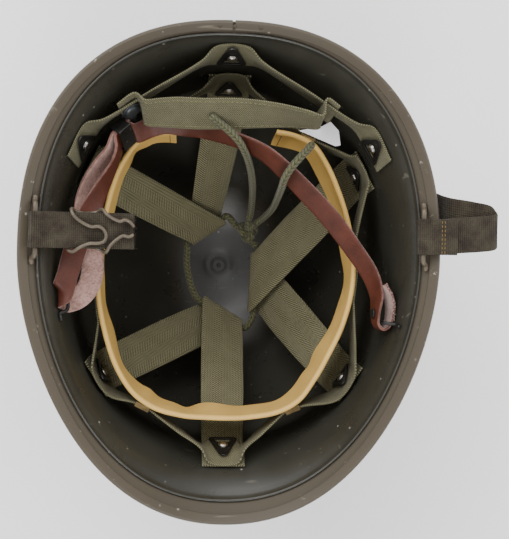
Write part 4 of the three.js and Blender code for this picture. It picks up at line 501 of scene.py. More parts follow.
def rim_edge(turn):
    """The middle of the sheet at the rim, the way out along it and the way inwards off it."""
    at = sheet_point(turn, float(RIM), STEEL / 2)
    out = unit(at - sheet_point(turn, RIM - 1.0, STEEL / 2))
    around = pot_point(turn + 0.5, np.full_like(turn, RIM - 0.1)) \
        - pot_point(turn - 0.5, np.full_like(turn, RIM - 0.1))
    inward = unit(np.cross(out, around))
    facing = np.sum((inward * at)[..., :2], axis=-1, keepdims=True)
    return at, out, np.where(facing > 0, -inward, inward)


def bowl_wall(outer, inner, top, lip, dips=(0.0, 0.0), flare=0.0):
    """A wall between two insets of the pot's surface, up one side, over a rounded lip and down.

    The rows rise as the share to the power 1.15. The flare thins the wall's inner side towards the
    lip, as the share to the power 1.5, and the dips deepen the crown's outer and inner round.
    """
    rows, turns = 64, 216
    turn = np.arange(turns) * 360 / turns
    rise = np.linspace(0, 1, rows) ** 1.15 * top
    half = (inner - outer) / 2
    bend = np.radians(np.linspace(0, 180, 9)[1:-1])
    places = np.concatenate([rise, np.full(len(bend), top), rise[::-1]])
    insets = np.concatenate([
        np.full(rows, outer), outer + half - flare / 2 - (half + lip - flare / 2) * np.cos(bend),
        inner - flare * np.clip((rise[::-1] - top + 1) / 0.85, 0, 1) ** 1.5])
    lift = np.concatenate([np.zeros(rows), (half + lip) * np.sin(bend), np.zeros(rows)])
    points = sheet_point(turn[None, :], places[:, None], insets[:, None])
    below = sheet_point(turn[None, :], np.minimum(places, top)[:, None] - 0.3, insets[:, None])
    points = points + unit(points - below) * lift[:, None, None]
    return np.concatenate([crown_disc(points[0], dips[0])[::-1], points,
                           crown_disc(points[-1], dips[1])])


def crown_disc(ring, dip):
    """The crown's round inside its last ring: shrinking rings on a bowl as deep as the dip."""
    share = np.array([0.82, 0.64, 0.46, 0.28, 0.12, 0.03])[:, None, None]
    middle = ring.mean(axis=0)
    disc = middle + (ring - middle) * share
    disc[..., 2] -= dip * (1 - share[..., 0] ** 2)
    return disc


# Meshes

def make_object(name, points, faces, materials, uv=None, indices=None, smooth_angle=40):
    """A mesh object in metres from points in millimetres, smooth but for its sharp edges."""
    points = np.asarray(points, float) * MM
    mesh = bpy.data.meshes.new(name)
    mesh.from_pydata(points.tolist(), [], faces)
    if uv is not None:
        layer = mesh.uv_layers.new(name="cloth")
        layer.data.foreach_set("uv", np.asarray(uv, np.float32).ravel())
    for material in materials:
        mesh.materials.append(material)
    if indices is not None:
        mesh.polygons.foreach_set("material_index", np.asarray(indices, np.int32))
    mesh.polygons.foreach_set("use_smooth", np.ones(len(mesh.polygons), bool))
    mesh.set_sharp_from_angle(angle=math.radians(smooth_angle))
    mesh.update()
    mesh.validate()
    obj = bpy.data.objects.new(name, mesh)
    bpy.context.scene.collection.objects.link(obj)
    return obj


def grid_faces(points, wrap_rows, uv, columns):
    """Quads over a grid of points that is closed round its columns, with flat caps at its ends.

    Wrapped rows join the two ends instead. The quads are turned over as a whole where the volume
    inside them comes out negative.
    """
    rows, cols = points.shape[:2]
    steps = rows if wrap_rows else rows - 1
    ii, jj = np.meshgrid(np.arange(steps), np.arange(cols), indexing="ij")
    corners = [(0, 0), (0, 1), (1, 1), (1, 0)]
    quads = np.stack([((ii + a) % rows) * cols + (jj + b) % cols for a, b in corners], axis=-1)
    marks = np.stack([uv[ii + a, jj + b] for a, b in corners], axis=-2)
    quads, marks = quads.reshape(-1, 4), marks.reshape(-1, 4, 2)
    flat = points.reshape(-1, 3)
    p = flat[quads] - flat.mean(axis=0)
    volume = np.sum((np.cross(p[:, 1], p[:, 2]) + np.cross(p[:, 2], p[:, 3])) * p[:, 0])
    if volume < 0:
        quads, marks = quads[:, ::-1], marks[:, ::-1]
    faces, loops = quads.tolist(), [marks.reshape(-1, 2)]
    kinds = np.zeros(quads.shape[0], int) if columns is None else columns[jj.reshape(-1)]
    if not wrap_rows:
        first, step = np.arange(cols), -1 if volume > 0 else 1
        faces += [first[::step].tolist(), (first + (rows - 1) * cols)[::-step].tolist()]
        loops += [uv[0, :cols][::step], uv[rows - 1, :cols][::-step]]
        kinds = np.concatenate([kinds, [0, 0]])
    return faces, np.vstack(loops), kinds


def grid_object(name, points, materials, wrap_rows=False, uv=None, columns=None, smooth_angle=40):
    """An object from one grid of points. Without a UV of its own it takes the place on the grid."""
    rows, cols = points.shape[:2]
    if uv is None:
        uv = np.stack(np.meshgrid(np.arange(rows + 1) / rows, np.arange(cols + 1) / cols,
                                  indexing="ij"), axis=-1)
    faces, marks, kinds = grid_faces(points, wrap_rows, uv, columns)
    return make_object(name, points.reshape(-1, 3), faces, materials, marks, kinds, smooth_angle)


def band_profile(across):
    """A rounded strip's outline, and the material of the face after each of its points.

    A point is a share of the flat half width, and its edge's part outwards and up.
    """
    s = np.linspace(-1, 1, across)
    turn = np.radians(np.linspace(90, -90, 5)[1:-1])
    share = np.concatenate([s, np.ones(len(turn)), s[::-1], -np.ones(len(turn))])
    out = np.concatenate([np.zeros(across), np.cos(turn), np.zeros(across), -np.cos(turn[::-1])])
    thick = np.concatenate([np.ones(across), np.sin(turn), -np.ones(across), np.sin(turn[::-1])])
    side = np.concatenate([np.zeros(across), np.full(len(turn) - 1, 2), np.ones(across + 1),
                           np.full(len(turn) - 1, 2), [0]])
    return share, out, thick, side.astype(int)


def band_frames(rows, count, closed=False):
    """A band's middle, way across, face and half width at even steps along its path."""
    path = smooth_rows(rows, count, closed)
    at, run = path[:, :3], along(path[:, :3], closed)
    across = unit(path[:, 3:6])
    return at, run, across, unit(np.cross(across, run)), path[:, 6] / 2


def band_object(name, rows, thickness, materials, count, closed=False, ripple=None, across=12):
    """A strip of cloth or leather: a rounded flat outline carried along its path.

    A ripple of the distance along and the share across lifts the strip off its path. The UV is the
    distance along and across, in metres.
    """
    at, _, way, face, half = band_frames(rows, count, closed)
    share, out, thick, side = band_profile(across)
    radius = thickness / 2
    flat = (half - radius)[:, None]
    wide = flat * share + radius * out
    far = travelled(np.vstack([at, at[:1]]) if closed else at)
    raise_by = radius * thick[None, :]
    if ripple is not None:
        raise_by = raise_by + ripple(far[:len(at), None], share[None, :] * np.ones((len(at), 1)))
    points = at[:, None] + way[:, None] * wide[..., None] + face[:, None] * raise_by[..., None]
    rows_n, cols_n = points.shape[:2]
    uv = np.zeros((rows_n + 1, cols_n + 1, 2))
    uv[:len(far), :, 0] = far[:, None] * MM
    uv[:rows_n, :cols_n, 1] = wide * MM
    uv[:rows_n, cols_n, 1] = wide[:, 0] * MM
    uv[rows_n] = uv[0] if not closed else uv[0] + np.array([far[-1] * MM, 0])
    return grid_object(name, points, materials, wrap_rows=closed, uv=uv, columns=side)


def tube_frames(points):
    """Two directions across a path, turned as little as possible from one point to the next."""
    run = along(points)
    first = np.cross(run[0], (0, 0, 1)) if abs(run[0, 2]) < 0.9 else np.cross(run[0], (0, 1, 0))
    sides = [unit(first)]
    for k in range(1, len(points)):
        side = sides[-1] - run[k] * np.dot(sides[-1], run[k])
        sides.append(unit(side))
    sides = np.array(sides)
    return sides, np.cross(run, sides)


def tube_marks(far, rows, sides):
    """The UV of a tube: the distance along it in metres, and the share of a turn round it."""
    uv = np.zeros((rows + 1, sides + 1, 2))
    uv[:len(far), :, 0] = far[:, None] * MM
    uv[..., 1] = np.linspace(0, 1, sides + 1)
    return uv


def tube_object(name, rows, diameter, materials, sides, count=None, swell=None, rounded=0.0):
    """A round wire or lace: circles carried along its path, smoothed where a count is given.

    Swell gives the radius's share for each distance along the path and turn round it. Over the
    rounded length at each end the radius follows a quarter of a circle.
    """
    path = smooth_rows(rows, count) if count else np.asarray(rows, float)
    far = travelled(path)
    size = np.full((len(path), sides), diameter / 2)
    if swell is not None:
        size = size * swell(far[:, None], full_turn(sides)[None, :])
    if rounded > 0:
        near = np.clip(np.minimum(far, far[-1] - far) / rounded, 0, 1)
        size = size * np.sqrt(np.clip(1 - (1 - near) ** 2, 0.02, 1))[:, None]
    points = circles(path, *tube_frames(path), size)
    uv = tube_marks(far, len(path), sides)
    return grid_object(name, points, materials, uv=uv, smooth_angle=60)


def closed_tube(name, path, diameter, materials, sides):
    """A ring of lace: circles carried round a closed path."""
    across = two_across(along(path, closed=True), (0.1, 0.2, 1.0))
    points = circles(path, *across, np.full((len(path), sides), diameter / 2))
    uv = tube_marks(travelled(np.vstack([path, path[:1]])), len(path), sides)
    return grid_object(name, points, materials, wrap_rows=True, uv=uv, smooth_angle=60)


def plate_object(name, row, outline, holes, thickness, materials, bevel):
    """A flat plate with rounded edges: its outline and holes filled, and carried through its sheet.

    The row is the place of the outline's zero and the three ways of the plate.
    """
    corner, x, y, z = np.array(row, float).reshape(4, 3)
    loops = [outline] + list(holes)
    flat = [[Vector((px, py, 0)) for px, py in loop] for loop in loops]
    triangles = tessellate_polygon(flat)
    plane = np.array([p for loop in loops for p in loop], float)
    count = len(plane)
    low = corner + plane[:, :1] * x + plane[:, 1:] * y
    points = np.vstack([low, low + z * thickness])
    faces = []
    for a, b, c in triangles:
        pa, pb, pc = plane[a], plane[b], plane[c]
        turned = np.cross(pb - pa, pc - pa) < 0
        a, b, c = (a, c, b) if turned else (a, b, c)
        faces += [(c, b, a), (a + count, b + count, c + count)]
    start = 0
    for k, loop in enumerate(loops):
        ring = np.array(loop, float)
        area = np.sum(ring[:, 0] * np.roll(ring[:, 1], -1) - ring[:, 1] * np.roll(ring[:, 0], -1))
        outwards = (area > 0) == (k == 0)
        for i in range(len(loop)):
            a, b = start + i, start + (i + 1) % len(loop)
            a, b = (a, b) if outwards else (b, a)
            faces.append((a, b, b + count, a + count))
        start += len(loop)
    if np.dot(np.cross(x, y), z) < 0:
        faces = [face[::-1] for face in faces]
    obj = make_object(name, points, faces, materials, smooth_angle=30)
    edge = obj.modifiers.new("Rounded edges", "BEVEL")
    edge.width = bevel * MM
    edge.segments = 2
    edge.limit_method = "ANGLE"
    edge.angle_limit = math.radians(35)
    edge.harden_normals = True
    return obj


def turned_object(name, foot, axis, profile, materials, sides):
    """A turned head: a profile of radius and height carried round an axis."""
    axis = unit(np.array(axis, float))
    aside, other = two_across(axis, (0.31, 0.2, 0.93))
    turn = full_turn(sides)[:, None]
    ring = aside * np.cos(turn) + other * np.sin(turn)
    wide, high = np.asarray(profile, float).T[:, :, None, None]
    points = np.asarray(foot, float) + ring[None] * wide + axis * high
    return grid_object(name, points, materials, smooth_angle=50)


def head_profile(radius, rise, start, foot=DOME_FOOT, share=1.0, steps=12):
    """A turned head's profile: its foot, then a quarter of an oval from the start to the rise."""
    t = np.radians(np.linspace(0, 88, steps))
    dome = np.stack([radius * share * np.cos(t), start + (rise - start) * np.sin(t)], axis=1)
    return np.vstack([np.array(foot) * (radius, 1), dome])


def head(name):
    """A head's row: its foot, its axis, its radius and its rise."""
    row = HEADS[name]
    return np.array(row[:3]), row[3:6], row[6], row[7]


def join(name, objects):
    """Several objects as one, with their materials kept."""
    bpy.ops.object.select_all(action="DESELECT")
    for obj in objects:
        obj.select_set(True)
    bpy.context.view_layer.objects.active = objects[0]
    bpy.ops.object.join()
    objects[0].name = name
    objects[0].data.name = name
    return objects[0]


def settle(obj, slot, *nodes):
    """Ties a piece to the part: it rides on the body and stands for its nodes; its slot is not
    used.
    """
    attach(obj, "root")
    if nodes:
        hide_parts(*nodes)
    return obj


# Materials

def tint(red, green, blue):
    """A screen colour of 0 to 255 as a linear colour."""
    parts = np.array([red, green, blue]) / 255
    linear = np.where(parts <= 0.04045, parts / 12.92, ((parts + 0.055) / 1.055) ** 2.4)
    return (*linear.tolist(), 1.0)


def feed(tree, node, inputs):
    """Sets a node's inputs to values, or joins them to other nodes' outputs."""
    for key, value in inputs.items():
        if isinstance(value, bpy.types.NodeSocket):
            tree.links.new(value, node.inputs[key])
        else:
            node.inputs[key].default_value = value


def put(tree, kind, inputs=None, **settings):
    """A node with its settings and inputs."""
    node = tree.nodes.new(kind)
    for key, value in settings.items():
        setattr(node, key, value)
    feed(tree, node, inputs or {})
    return node


def calc(tree, operation, first, second=0.0, third=0.0):
    """One step of arithmetic."""
    return put(tree, "ShaderNodeMath", {0: first, 1: second, 2: third},
               operation=operation).outputs[0]


def times(tree, first, second):
    """The product of two values."""
    return calc(tree, "MULTIPLY", first, second)


def stretch(tree, value, low, high, start=0.0, end=1.0):
    """A value carried from one range to another and held inside it."""
    return put(tree, "ShaderNodeMapRange", {"Value": value, "From Min": low, "From Max": high,
                                            "To Min": start, "To Max": end}).outputs["Result"]


def blend(tree, share, first, second):
    """Two colours mixed by a share."""
    return put(tree, "ShaderNodeMix", {0: share, 6: first, 7: second}, data_type="RGBA").outputs[2]


def noise(tree, vector, scale, detail, roughness=0.55, distortion=0.0):
    """Soft noise between 0 and 1."""
    return put(tree, "ShaderNodeTexNoise", {
        "Vector": vector, "Scale": scale, "Detail": detail, "Roughness": roughness,
        "Distortion": distortion}).outputs["Fac"]


def new_group(name, inputs, outputs):
    """An empty shader group with its sockets."""
    group = bpy.data.node_groups.new(name, "ShaderNodeTree")
    for label, kind, value in inputs:
        socket = group.interface.new_socket(name=label, in_out="INPUT", socket_type=kind)
        if value is not None:
            socket.default_value = value
    for label in outputs:
        group.interface.new_socket(name=label, in_out="OUTPUT", socket_type="NodeSocketFloat")
    return group, put(group, "NodeGroupInput").outputs, put(group, "NodeGroupOutput").inputs


def weave_group():
    """Herringbone or ribbed cloth: slanting yarns whose slant turns back from band to band."""
    group, given, result = new_group("Helmet weave", [
        ("Vector", "NodeSocketVector", None), ("Pitch", "NodeSocketFloat", 0.0012),
        ("Band", "NodeSocketFloat", 0.004), ("Slope", "NodeSocketFloat", 1.0)],
        ["Height", "Yarn", "Cloud"])
    parts = put(group, "ShaderNodeSeparateXYZ", {0: given["Vector"]}).outputs
    wobble = noise(group, given["Vector"], 900.0, 2.0)
    run = calc(group, "ADD", parts[0], times(group, wobble, 0.0002))
    fold = calc(group, "PINGPONG", parts[1], given["Band"])
    slanted = calc(group, "ADD", run, times(group, fold, given["Slope"]))
    turn = times(group, calc(group, "DIVIDE", slanted, given["Pitch"]), 2 * math.pi)
    rib = calc(group, "MULTIPLY_ADD", calc(group, "SINE", turn), 0.5, 0.5)
    across = times(group, calc(group, "DIVIDE", parts[1], given["Pitch"]), 5.1)
    thread = calc(group, "MULTIPLY_ADD", calc(group, "SINE", across), 0.5, 0.5)
    group.links.new(calc(group, "ADD", times(group, rib, 0.75),
                         times(group, thread, 0.25)), result["Height"])
    # The yarn output is the raised yarns at random strengths; the cloth paints highlight on them
    # with it.
    group.links.new(times(group, rib, noise(group, given["Vector"], 2500.0, 1.0)),
                    result["Yarn"])
    group.links.new(noise(group, given["Vector"], 90.0, 4.0, 0.65), result["Cloud"])
    return group


def braid_group():
    """A plait: slanting strands round a lace that meet in rows of V shapes, low between them, where
    the lace's colour takes painted shade.
    """
    group, given, result = new_group("Helmet braid", [
        ("Vector", "NodeSocketVector", None), ("Pitch", "NodeSocketFloat", 0.005),
        ("Strands", "NodeSocketFloat", 4.0)], ["Height", "Fleck"])
    parts = put(group, "ShaderNodeSeparateXYZ", {0: given["Vector"]}).outputs
    run = calc(group, "DIVIDE", parts[0], given["Pitch"])
    way = calc(group, "PINGPONG", times(group, parts[1], given["Strands"]), 1.0)
    turn = times(group, calc(group, "ADD", run, times(group, way, 0.9)),
                math.pi)
    strand = calc(group, "POWER", calc(group, "ABSOLUTE", calc(group, "SINE", turn)), 0.6)
    edge = calc(group, "SINE", times(group, way, math.pi))
    height = times(group, strand, calc(group, "POWER", edge, 0.3))
    group.links.new(height, result["Height"])
    speck = stretch(group, noise(group, given["Vector"], 1400.0, 1.0), 0.5, 0.62)
    group.links.new(times(group, speck, height), result["Fleck"])
    return group


def patina_group():
    """Use and dust: slow clouds, sparse specks and thin scratches over a surface."""
    group, given, result = new_group("Helmet patina", [
        ("Vector", "NodeSocketVector", None), ("Size", "NodeSocketFloat", 1.0)],
        ["Cloud", "Speck", "Scratch", "Fine"])
    place = put(group, "ShaderNodeVectorMath", {0: given["Vector"], 3: given["Size"]},
                operation="SCALE").outputs[0]
    group.links.new(noise(group, place, 16.0, 5.0, 0.6), result["Cloud"])
    dots = put(group, "ShaderNodeTexVoronoi", {"Vector": place, "Scale": 150.0}).outputs
    rare = put(group, "ShaderNodeSeparateXYZ", {0: dots["Color"]}).outputs[0]
    near = stretch(group, dots["Distance"], 0.16, 0.05)
    group.links.new(times(group, near, stretch(group, rare, 0.8, 0.95)), result["Speck"])
    lines = put(group, "ShaderNodeMapping", {"Vector": place, "Rotation": (0.4, 0.7, 0.9),
                                             "Scale": (14.0, 170.0, 170.0)}).outputs[0]
    streak = stretch(group, noise(group, lines, 1.0, 2.0, 0.5, 0.6), 0.7, 0.76)
    group.links.new(streak, result["Scratch"])
    group.links.new(noise(group, place, 1100.0, 3.0, 0.6), result["Fine"])
    return group


def grain_group():
    """Leather grain: small cells with soft creases, and slow changes of tone."""
    group, given, result = new_group("Helmet grain", [
        ("Vector", "NodeSocketVector", None), ("Cells", "NodeSocketFloat", 1100.0)],
        ["Height", "Tone", "Crease"])
    cells = put(group, "ShaderNodeTexVoronoi", {
        "Vector": given["Vector"], "Scale": given["Cells"], "Randomness": 1.0}).outputs["Distance"]
    group.links.new(cells, result["Height"])
    group.links.new(noise(group, given["Vector"], 70.0, 5.0, 0.6), result["Tone"])
    crease = noise(group, given["Vector"], 190.0, 3.0, 0.5, 1.5)
    group.links.new(stretch(group, calc(group, "ABSOLUTE", calc(group, "SUBTRACT", crease, 0.5)),
                            0.03, 0.0), result["Crease"])
    return group


GROUPS = {}


def group_node(tree, name, **values):
    """A shared group placed in a material with its own values."""
    if name not in GROUPS:
        GROUPS[name] = GROUP_MAKERS[name]()
    node = tree.nodes.new("ShaderNodeGroup")
    node.node_tree = GROUPS[name]
    feed(tree, node, values)
    return node.outputs


GROUP_MAKERS = {"weave": weave_group, "braid": braid_group, "patina": patina_group,
                "grain": grain_group}


def new_material(name, **shader):
    """A material with its shader's constants set on the shader itself."""
    material = bpy.data.materials.new(name)
    material.use_nodes = True
    tree = material.node_tree
    bsdf = tree.nodes["Principled BSDF"]
    for key, value in shader.items():
        bsdf.inputs[key.replace("_", " ")].default_value = value
    where = put(tree, "ShaderNodeTexCoord").outputs
    return material, tree, bsdf, where


def finish(tree, bsdf, colour, rough, height, strength, distance):
    """Joins a colour, a roughness and a bump's height to the shader."""
    bump = put(tree, "ShaderNodeBump", {"Height": height, "Strength": strength,
                                        "Distance": distance})
    feed(tree, bsdf, {"Base Color": colour, "Roughness": rough, "Normal": bump.outputs[0]})


def painted_steel(name, dark, light, rough, speck_share, chip):
    """Matt paint on steel: slow changes of tone, fine texture, dust specks, scratches, chips and
    painted light towards the rim.
    """
    material, tree, bsdf, where = new_material(name, Specular_IOR_Level=0.28)
    signs = group_node(tree, "patina", Vector=where["Object"], Size=1.0)
    colour = blend(tree, stretch(tree, signs["Cloud"], 0.3, 0.7), dark, light)
    dust = times(tree, signs["Speck"], speck_share)
    colour = blend(tree, dust, colour, tint(188, 182, 168))
    colour = blend(tree, times(tree, signs["Scratch"], 0.3), colour, tint(150, 140, 124))
    edge = noise(tree, where["Object"], 120.0, 4.0, 0.7)
    colour = blend(tree, stretch(tree, edge, chip, chip + 0.05), colour, tint(160, 152, 140))
    # A lighter tone towards the rim, the top of the pot as it lies and the side that faces the
    # lamps, is painted light.
    height = put(tree, "ShaderNodeSeparateXYZ", {0: where["Object"]}).outputs[2]
    painted_rim_light = stretch(tree, height, 0.06, 0.15)
    colour = blend(tree, times(tree, painted_rim_light, 0.12), colour, tint(128, 118, 102))
    gloss = stretch(tree, signs["Cloud"], 0.3, 0.75, rough - 0.07, rough + 0.07)
    finish(tree, bsdf, colour, gloss, signs["Fine"], 0.35, 0.0004)
    return material


def liner_resin(name, dark, light):
    """Glossy moulded resin, with a faint cloth texture under it, dust and hairline scratches."""
    material, tree, bsdf, where = new_material(name, Specular_IOR_Level=0.5)
    signs = group_node(tree, "patina", Vector=where["Object"], Size=1.2)
    colour = blend(tree, stretch(tree, signs["Cloud"], 0.3, 0.7), dark, light)
    colour = blend(tree, times(tree, signs["Speck"], 0.55), colour, tint(176, 172, 160))
    colour = blend(tree, times(tree, signs["Scratch"], 0.25), colour, tint(120, 118, 104))
    smear = noise(tree, where["Object"], 40.0, 4.0, 0.7, 0.8)
    gloss = stretch(tree, smear, 0.3, 0.7, 0.24, 0.4)
    finish(tree, bsdf, colour, gloss, signs["Fine"], 0.16, 0.0004)
    return material


def cloth(name, dark, light, pitch, band, slope, strength=0.6):
    """Woven cotton: painted shade in the weave's gaps, painted highlight on its yarns, raised yarns
    and slow fading over it.
    """
    material, tree, bsdf, where = new_material(name, Sheen_Weight=0.06, Sheen_Roughness=0.5,
                                               Specular_IOR_Level=0.15)
    made = group_node(tree, "weave", Vector=where["UV"], Pitch=pitch, Band=band, Slope=slope)
    # The colour follows the weave's height: the dark gaps are painted shade, the light yarn tops
    # painted highlight, with a random yarn tone.
    share = calc(tree, "ADD", times(tree, made["Height"], 0.75), times(tree, made["Yarn"], 0.5))
    colour = blend(tree, stretch(tree, share, 0.22, 0.8), dark, light)
    faded = blend(tree, stretch(tree, made["Cloud"], 0.35, 0.7), colour,
                  blend(tree, 0.08, colour, tint(178, 172, 140)))
    gloss = stretch(tree, made["Cloud"], 0.2, 0.8, 0.85, 0.97)
    finish(tree, bsdf, faded, gloss, made["Height"], strength, 0.0009)
    return material


def braided_cotton(name, dark, light, fleck):
    """Braided cotton lace: raised strands, painted shade in the gaps and light flecks."""
    material, tree, bsdf, where = new_material(name, Sheen_Weight=0.15, Sheen_Roughness=0.5,
                                               Specular_IOR_Level=0.25)
    made = group_node(tree, "braid", Vector=where["UV"], Pitch=0.0027, Strands=6.0)
    # The colour follows the braid's height: dark in the gaps between strands as painted shade.
    colour = blend(tree, stretch(tree, made["Height"], 0.1, 0.85), dark, light)
    colour = blend(tree, times(tree, made["Fleck"], 0.3), colour, fleck)
    finish(tree, bsdf, colour, 0.9, made["Height"], 0.9, 0.0008)
    return material


def leather(name, dark, light, rough, cells, strength, crease, coat=0.0):
    """Leather: fine cells, creases drawn darker, and slow changes of tone."""
    material, tree, bsdf, where = new_material(name, Specular_IOR_Level=0.28, Coat_Weight=coat,
                                               Coat_Roughness=0.35)
    made = group_node(tree, "grain", Vector=where["Object"], Cells=cells)
    colour = blend(tree, stretch(tree, made["Tone"], 0.3, 0.7), dark, light)
    colour = blend(tree, times(tree, made["Crease"], crease), colour, dark)
    gloss = stretch(tree, made["Tone"], 0.3, 0.7, rough - 0.06, rough + 0.08)
    finish(tree, bsdf, colour, gloss, made["Height"], strength, 0.0003)
    return material


def flesh_side(name, dark, light):
    """The rough side of leather: short fibres in many directions."""
    material, tree, bsdf, where = new_material(name, Sheen_Weight=0.3, Specular_IOR_Level=0.2)
    fibre = noise(tree, where["Object"], 700.0, 5.0, 0.75, 0.6)
    tone = noise(tree, where["Object"], 90.0, 4.0, 0.65)
    share = calc(tree, "ADD", times(tree, fibre, 0.6), times(tree, tone, 0.5))
    colour = blend(tree, stretch(tree, share, 0.38, 0.72), dark, light)
    gloss = stretch(tree, fibre, 0.3, 0.7, 0.88, 1.0)
    finish(tree, bsdf, colour, gloss, fibre, 0.7, 0.0006)
    return material


def metal(name, dark, light, rough, metallic, wear):
    """Plated or painted metal: tone and gloss vary with handling, and its wear shows lighter."""
    material, tree, bsdf, where = new_material(name, Metallic=metallic)
    signs = group_node(tree, "patina", Vector=where["Object"], Size=4.0)
    colour = blend(tree, stretch(tree, signs["Cloud"], 0.35, 0.65), dark, light)
    worn = stretch(tree, noise(tree, where["Object"], 500.0, 4.0, 0.7), 0.6, 0.72)
    colour = blend(tree, times(tree, worn, wear), colour, tint(196, 188, 172))
    gloss = stretch(tree, signs["Cloud"], 0.3, 0.7, rough - 0.06, rough + 0.1)
    finish(tree, bsdf, colour, gloss, signs["Fine"], 0.15, 0.0002)
    return material


def card(name, dark, light):
    """A blank card tag: faint fibres."""
    material, tree, bsdf, where = new_material(name, Specular_IOR_Level=0.3)
    fibre = noise(tree, where["Object"], 600.0, 4.0, 0.7)
    colour = blend(tree, fibre, dark, light)
    gloss = stretch(tree, fibre, 0.2, 0.8, 0.6, 0.75)
    finish(tree, bsdf, colour, gloss, fibre, 0.2, 0.0002)
    return material


MATERIALS = {}


def shade(colour, share=1.0):
    """A colour made lighter or darker by a share."""
    return (*(part * share for part in colour), 1.0)


def make_materials():
    """Every finish of the helmet, made once from the colours in the panel."""
    pick = bpy.context.scene.helmet_colours
    MATERIALS.update(
        paint=painted_steel("Helmet paint", shade(pick.paint, 0.78), shade(pick.paint), 0.62, 0.18,
                            0.7),
        rim=painted_steel("Rim paint", shade(pick.paint, 0.82), shade(pick.paint, 1.12), 0.52,
                          0.5, 0.66),
        liner=liner_resin("Liner resin", shade(pick.liner, 0.75), shade(pick.liner, 1.15)),
        webbing=cloth("Crown webbing", shade(pick.webbing, 0.3), shade(pick.webbing, 1.6),
                      0.0015, 0.0062, 1.0),
        tape=cloth("Headband tape", shade(pick.webbing, 0.3), shade(pick.webbing, 1.4), 0.0013,
                   0.0048, 1.0),
        strap_web=cloth("Strap webbing", shade(pick.strap, 0.45), shade(pick.strap), 0.0011,
                        0.05, 0.0, 0.8),
        lace=braided_cotton("Lace braid", shade(pick.lace, 0.35), shade(pick.lace),
                            tint(190, 186, 150)),
        tan=leather("Sweatband leather", shade(pick.sweatband, 0.86), shade(pick.sweatband), 0.5,
                    1500.0, 0.2, 0.12),
        brown=leather("Strap leather", shade(pick.leather, 0.6), shade(pick.leather, 1.15), 0.5,
                      900.0, 0.3, 0.35, 0.04),
        flesh=flesh_side("Strap flesh side", tint(96, 66, 59), tint(182, 148, 137)),
        tuft=flesh_side("Loose fibres", tint(150, 120, 112), tint(206, 182, 174)),
        cut=flesh_side("Strap cut edge", tint(58, 32, 27), tint(132, 92, 82)),
        black=metal("Blackened steel", tint(26, 26, 26), tint(46, 45, 44), 0.38, 0.6, 0.25),
        nickel=metal("Nickel", tint(150, 148, 142), tint(196, 194, 188), 0.28, 1.0, 0.2),
        bronze=metal("Aged bronze", tint(70, 58, 40), tint(138, 116, 78), 0.25, 1.0, 0.2),
        wire=metal("Painted wire", shade(pick.wire, 0.7), shade(pick.wire), 0.45, 0.35, 0.35),
        grey=metal("Grey cap", tint(62, 66, 70), tint(88, 92, 97), 0.35, 0.7, 0.25),
        brass=metal("Brass", tint(150, 120, 70), tint(190, 158, 98), 0.32, 1.0, 0.2),
        white=card("Blank card", tint(222, 220, 222), tint(238, 236, 240)),
        gold=cloth("Yellow thread", tint(64, 51, 28), tint(104, 84, 46), 0.0008, 0.05, 0.0, 0.3),
        thread=cloth("Thread", tint(74, 74, 52), tint(112, 110, 80), 0.0008, 0.05, 0.0, 0.3),
    )


# Pieces

def make_pot():
    """The steel pot, the folded edging with its butt seam, and the weld marks beside the seam.

    The edging's section is given by its distance out past the sheet's edge and its distance off the
    sheet's middle, and its nose is an oval to the power 0.6.
    """
    pot = grid_object("pot_sheet", bowl_wall(0.0, STEEL, float(RIM), 0.0), [MATERIALS["paint"]],
                      smooth_angle=60)
    settle(pot, "helmet_paint", "steel_shell")
    near = STEEL / 2 + SEAT
    far, nose = near + EDGING_SHEET, SEAT + EDGING_SHEET
    bend = np.radians(np.linspace(90, -90, 9))
    outer = [(nose * max(math.cos(a), 0.0) ** 0.6, far * math.sin(a)) for a in bend]
    section = np.array([(-EDGING_COVER, far - 0.25), (-EDGING_COVER + 0.3, far)] + outer
                       + [(-EDGING_COVER + 0.3, -far), (-EDGING_COVER, -far + 0.25),
                          (-EDGING_COVER, -near), (SEAT, -near), (SEAT, near),
                          (-EDGING_COVER, near)])
    seam = math.degrees(EDGING_SEAM / 2 / REAR_REACH)
    at, out, inward = rim_edge(np.linspace(seam, 360 - seam, 260))
    points = at[:, None] + out[:, None] * section[None, :, :1] \
        + inward[:, None] * section[None, :, 1:]
    edging = grid_object("pot_edging", points, [MATERIALS["rim"]], smooth_angle=35)
    settle(edging, "rim_paint", "rim_band")
    marks = []
    for shift in WELDS:
        at, out, inward = rim_edge(np.array([math.degrees(shift / REAR_REACH)]))
        foot = (at - out * 1.6 + inward * (far - 0.12))[0]
        marks.append(turned_object("weld_mark", foot, inward[0], head_profile(1.3, 0.45, 0.1),
                                   [MATERIALS["paint"]], 20))
    settle(join("seam_marks", marks), "rim_paint")


def make_liner():
    """The liner: a moulded bowl inside the pot with a rounded lip, and the rings at its crown."""
    points = bowl_wall(LINER_OUT, LINER_IN, float(LIP), LIP_BEAD / 2, dips=(0.5, 0.5), flare=1.3)
    liner = grid_object("liner_bowl", points, [MATERIALS["liner"]], smooth_angle=60)
    settle(liner, "liner_plastic", "liner")
    crown = float(sheet_point(0.0, 0.0, LINER_IN)[2]) - MARK_SUNK
    turn, bead = full_turn(60), full_turn(12)
    ring = np.stack([np.cos(turn), np.sin(turn)], axis=1)
    marks = []
    for radius in MARK_RADII:
        flat = ring[:, None] * (radius + 0.32 * np.cos(bead))[None, :, None]
        height = 0.28 * np.sin(bead)[None, :] + np.zeros((len(turn), 1))
        at = np.concatenate([flat + np.array(CROWN_MARK), height[..., None] + crown], axis=2)
        marks.append(grid_object("crown_ring", at, [MATERIALS["liner"]], wrap_rows=True))
    settle(join("crown_mark", marks), "liner_plastic")


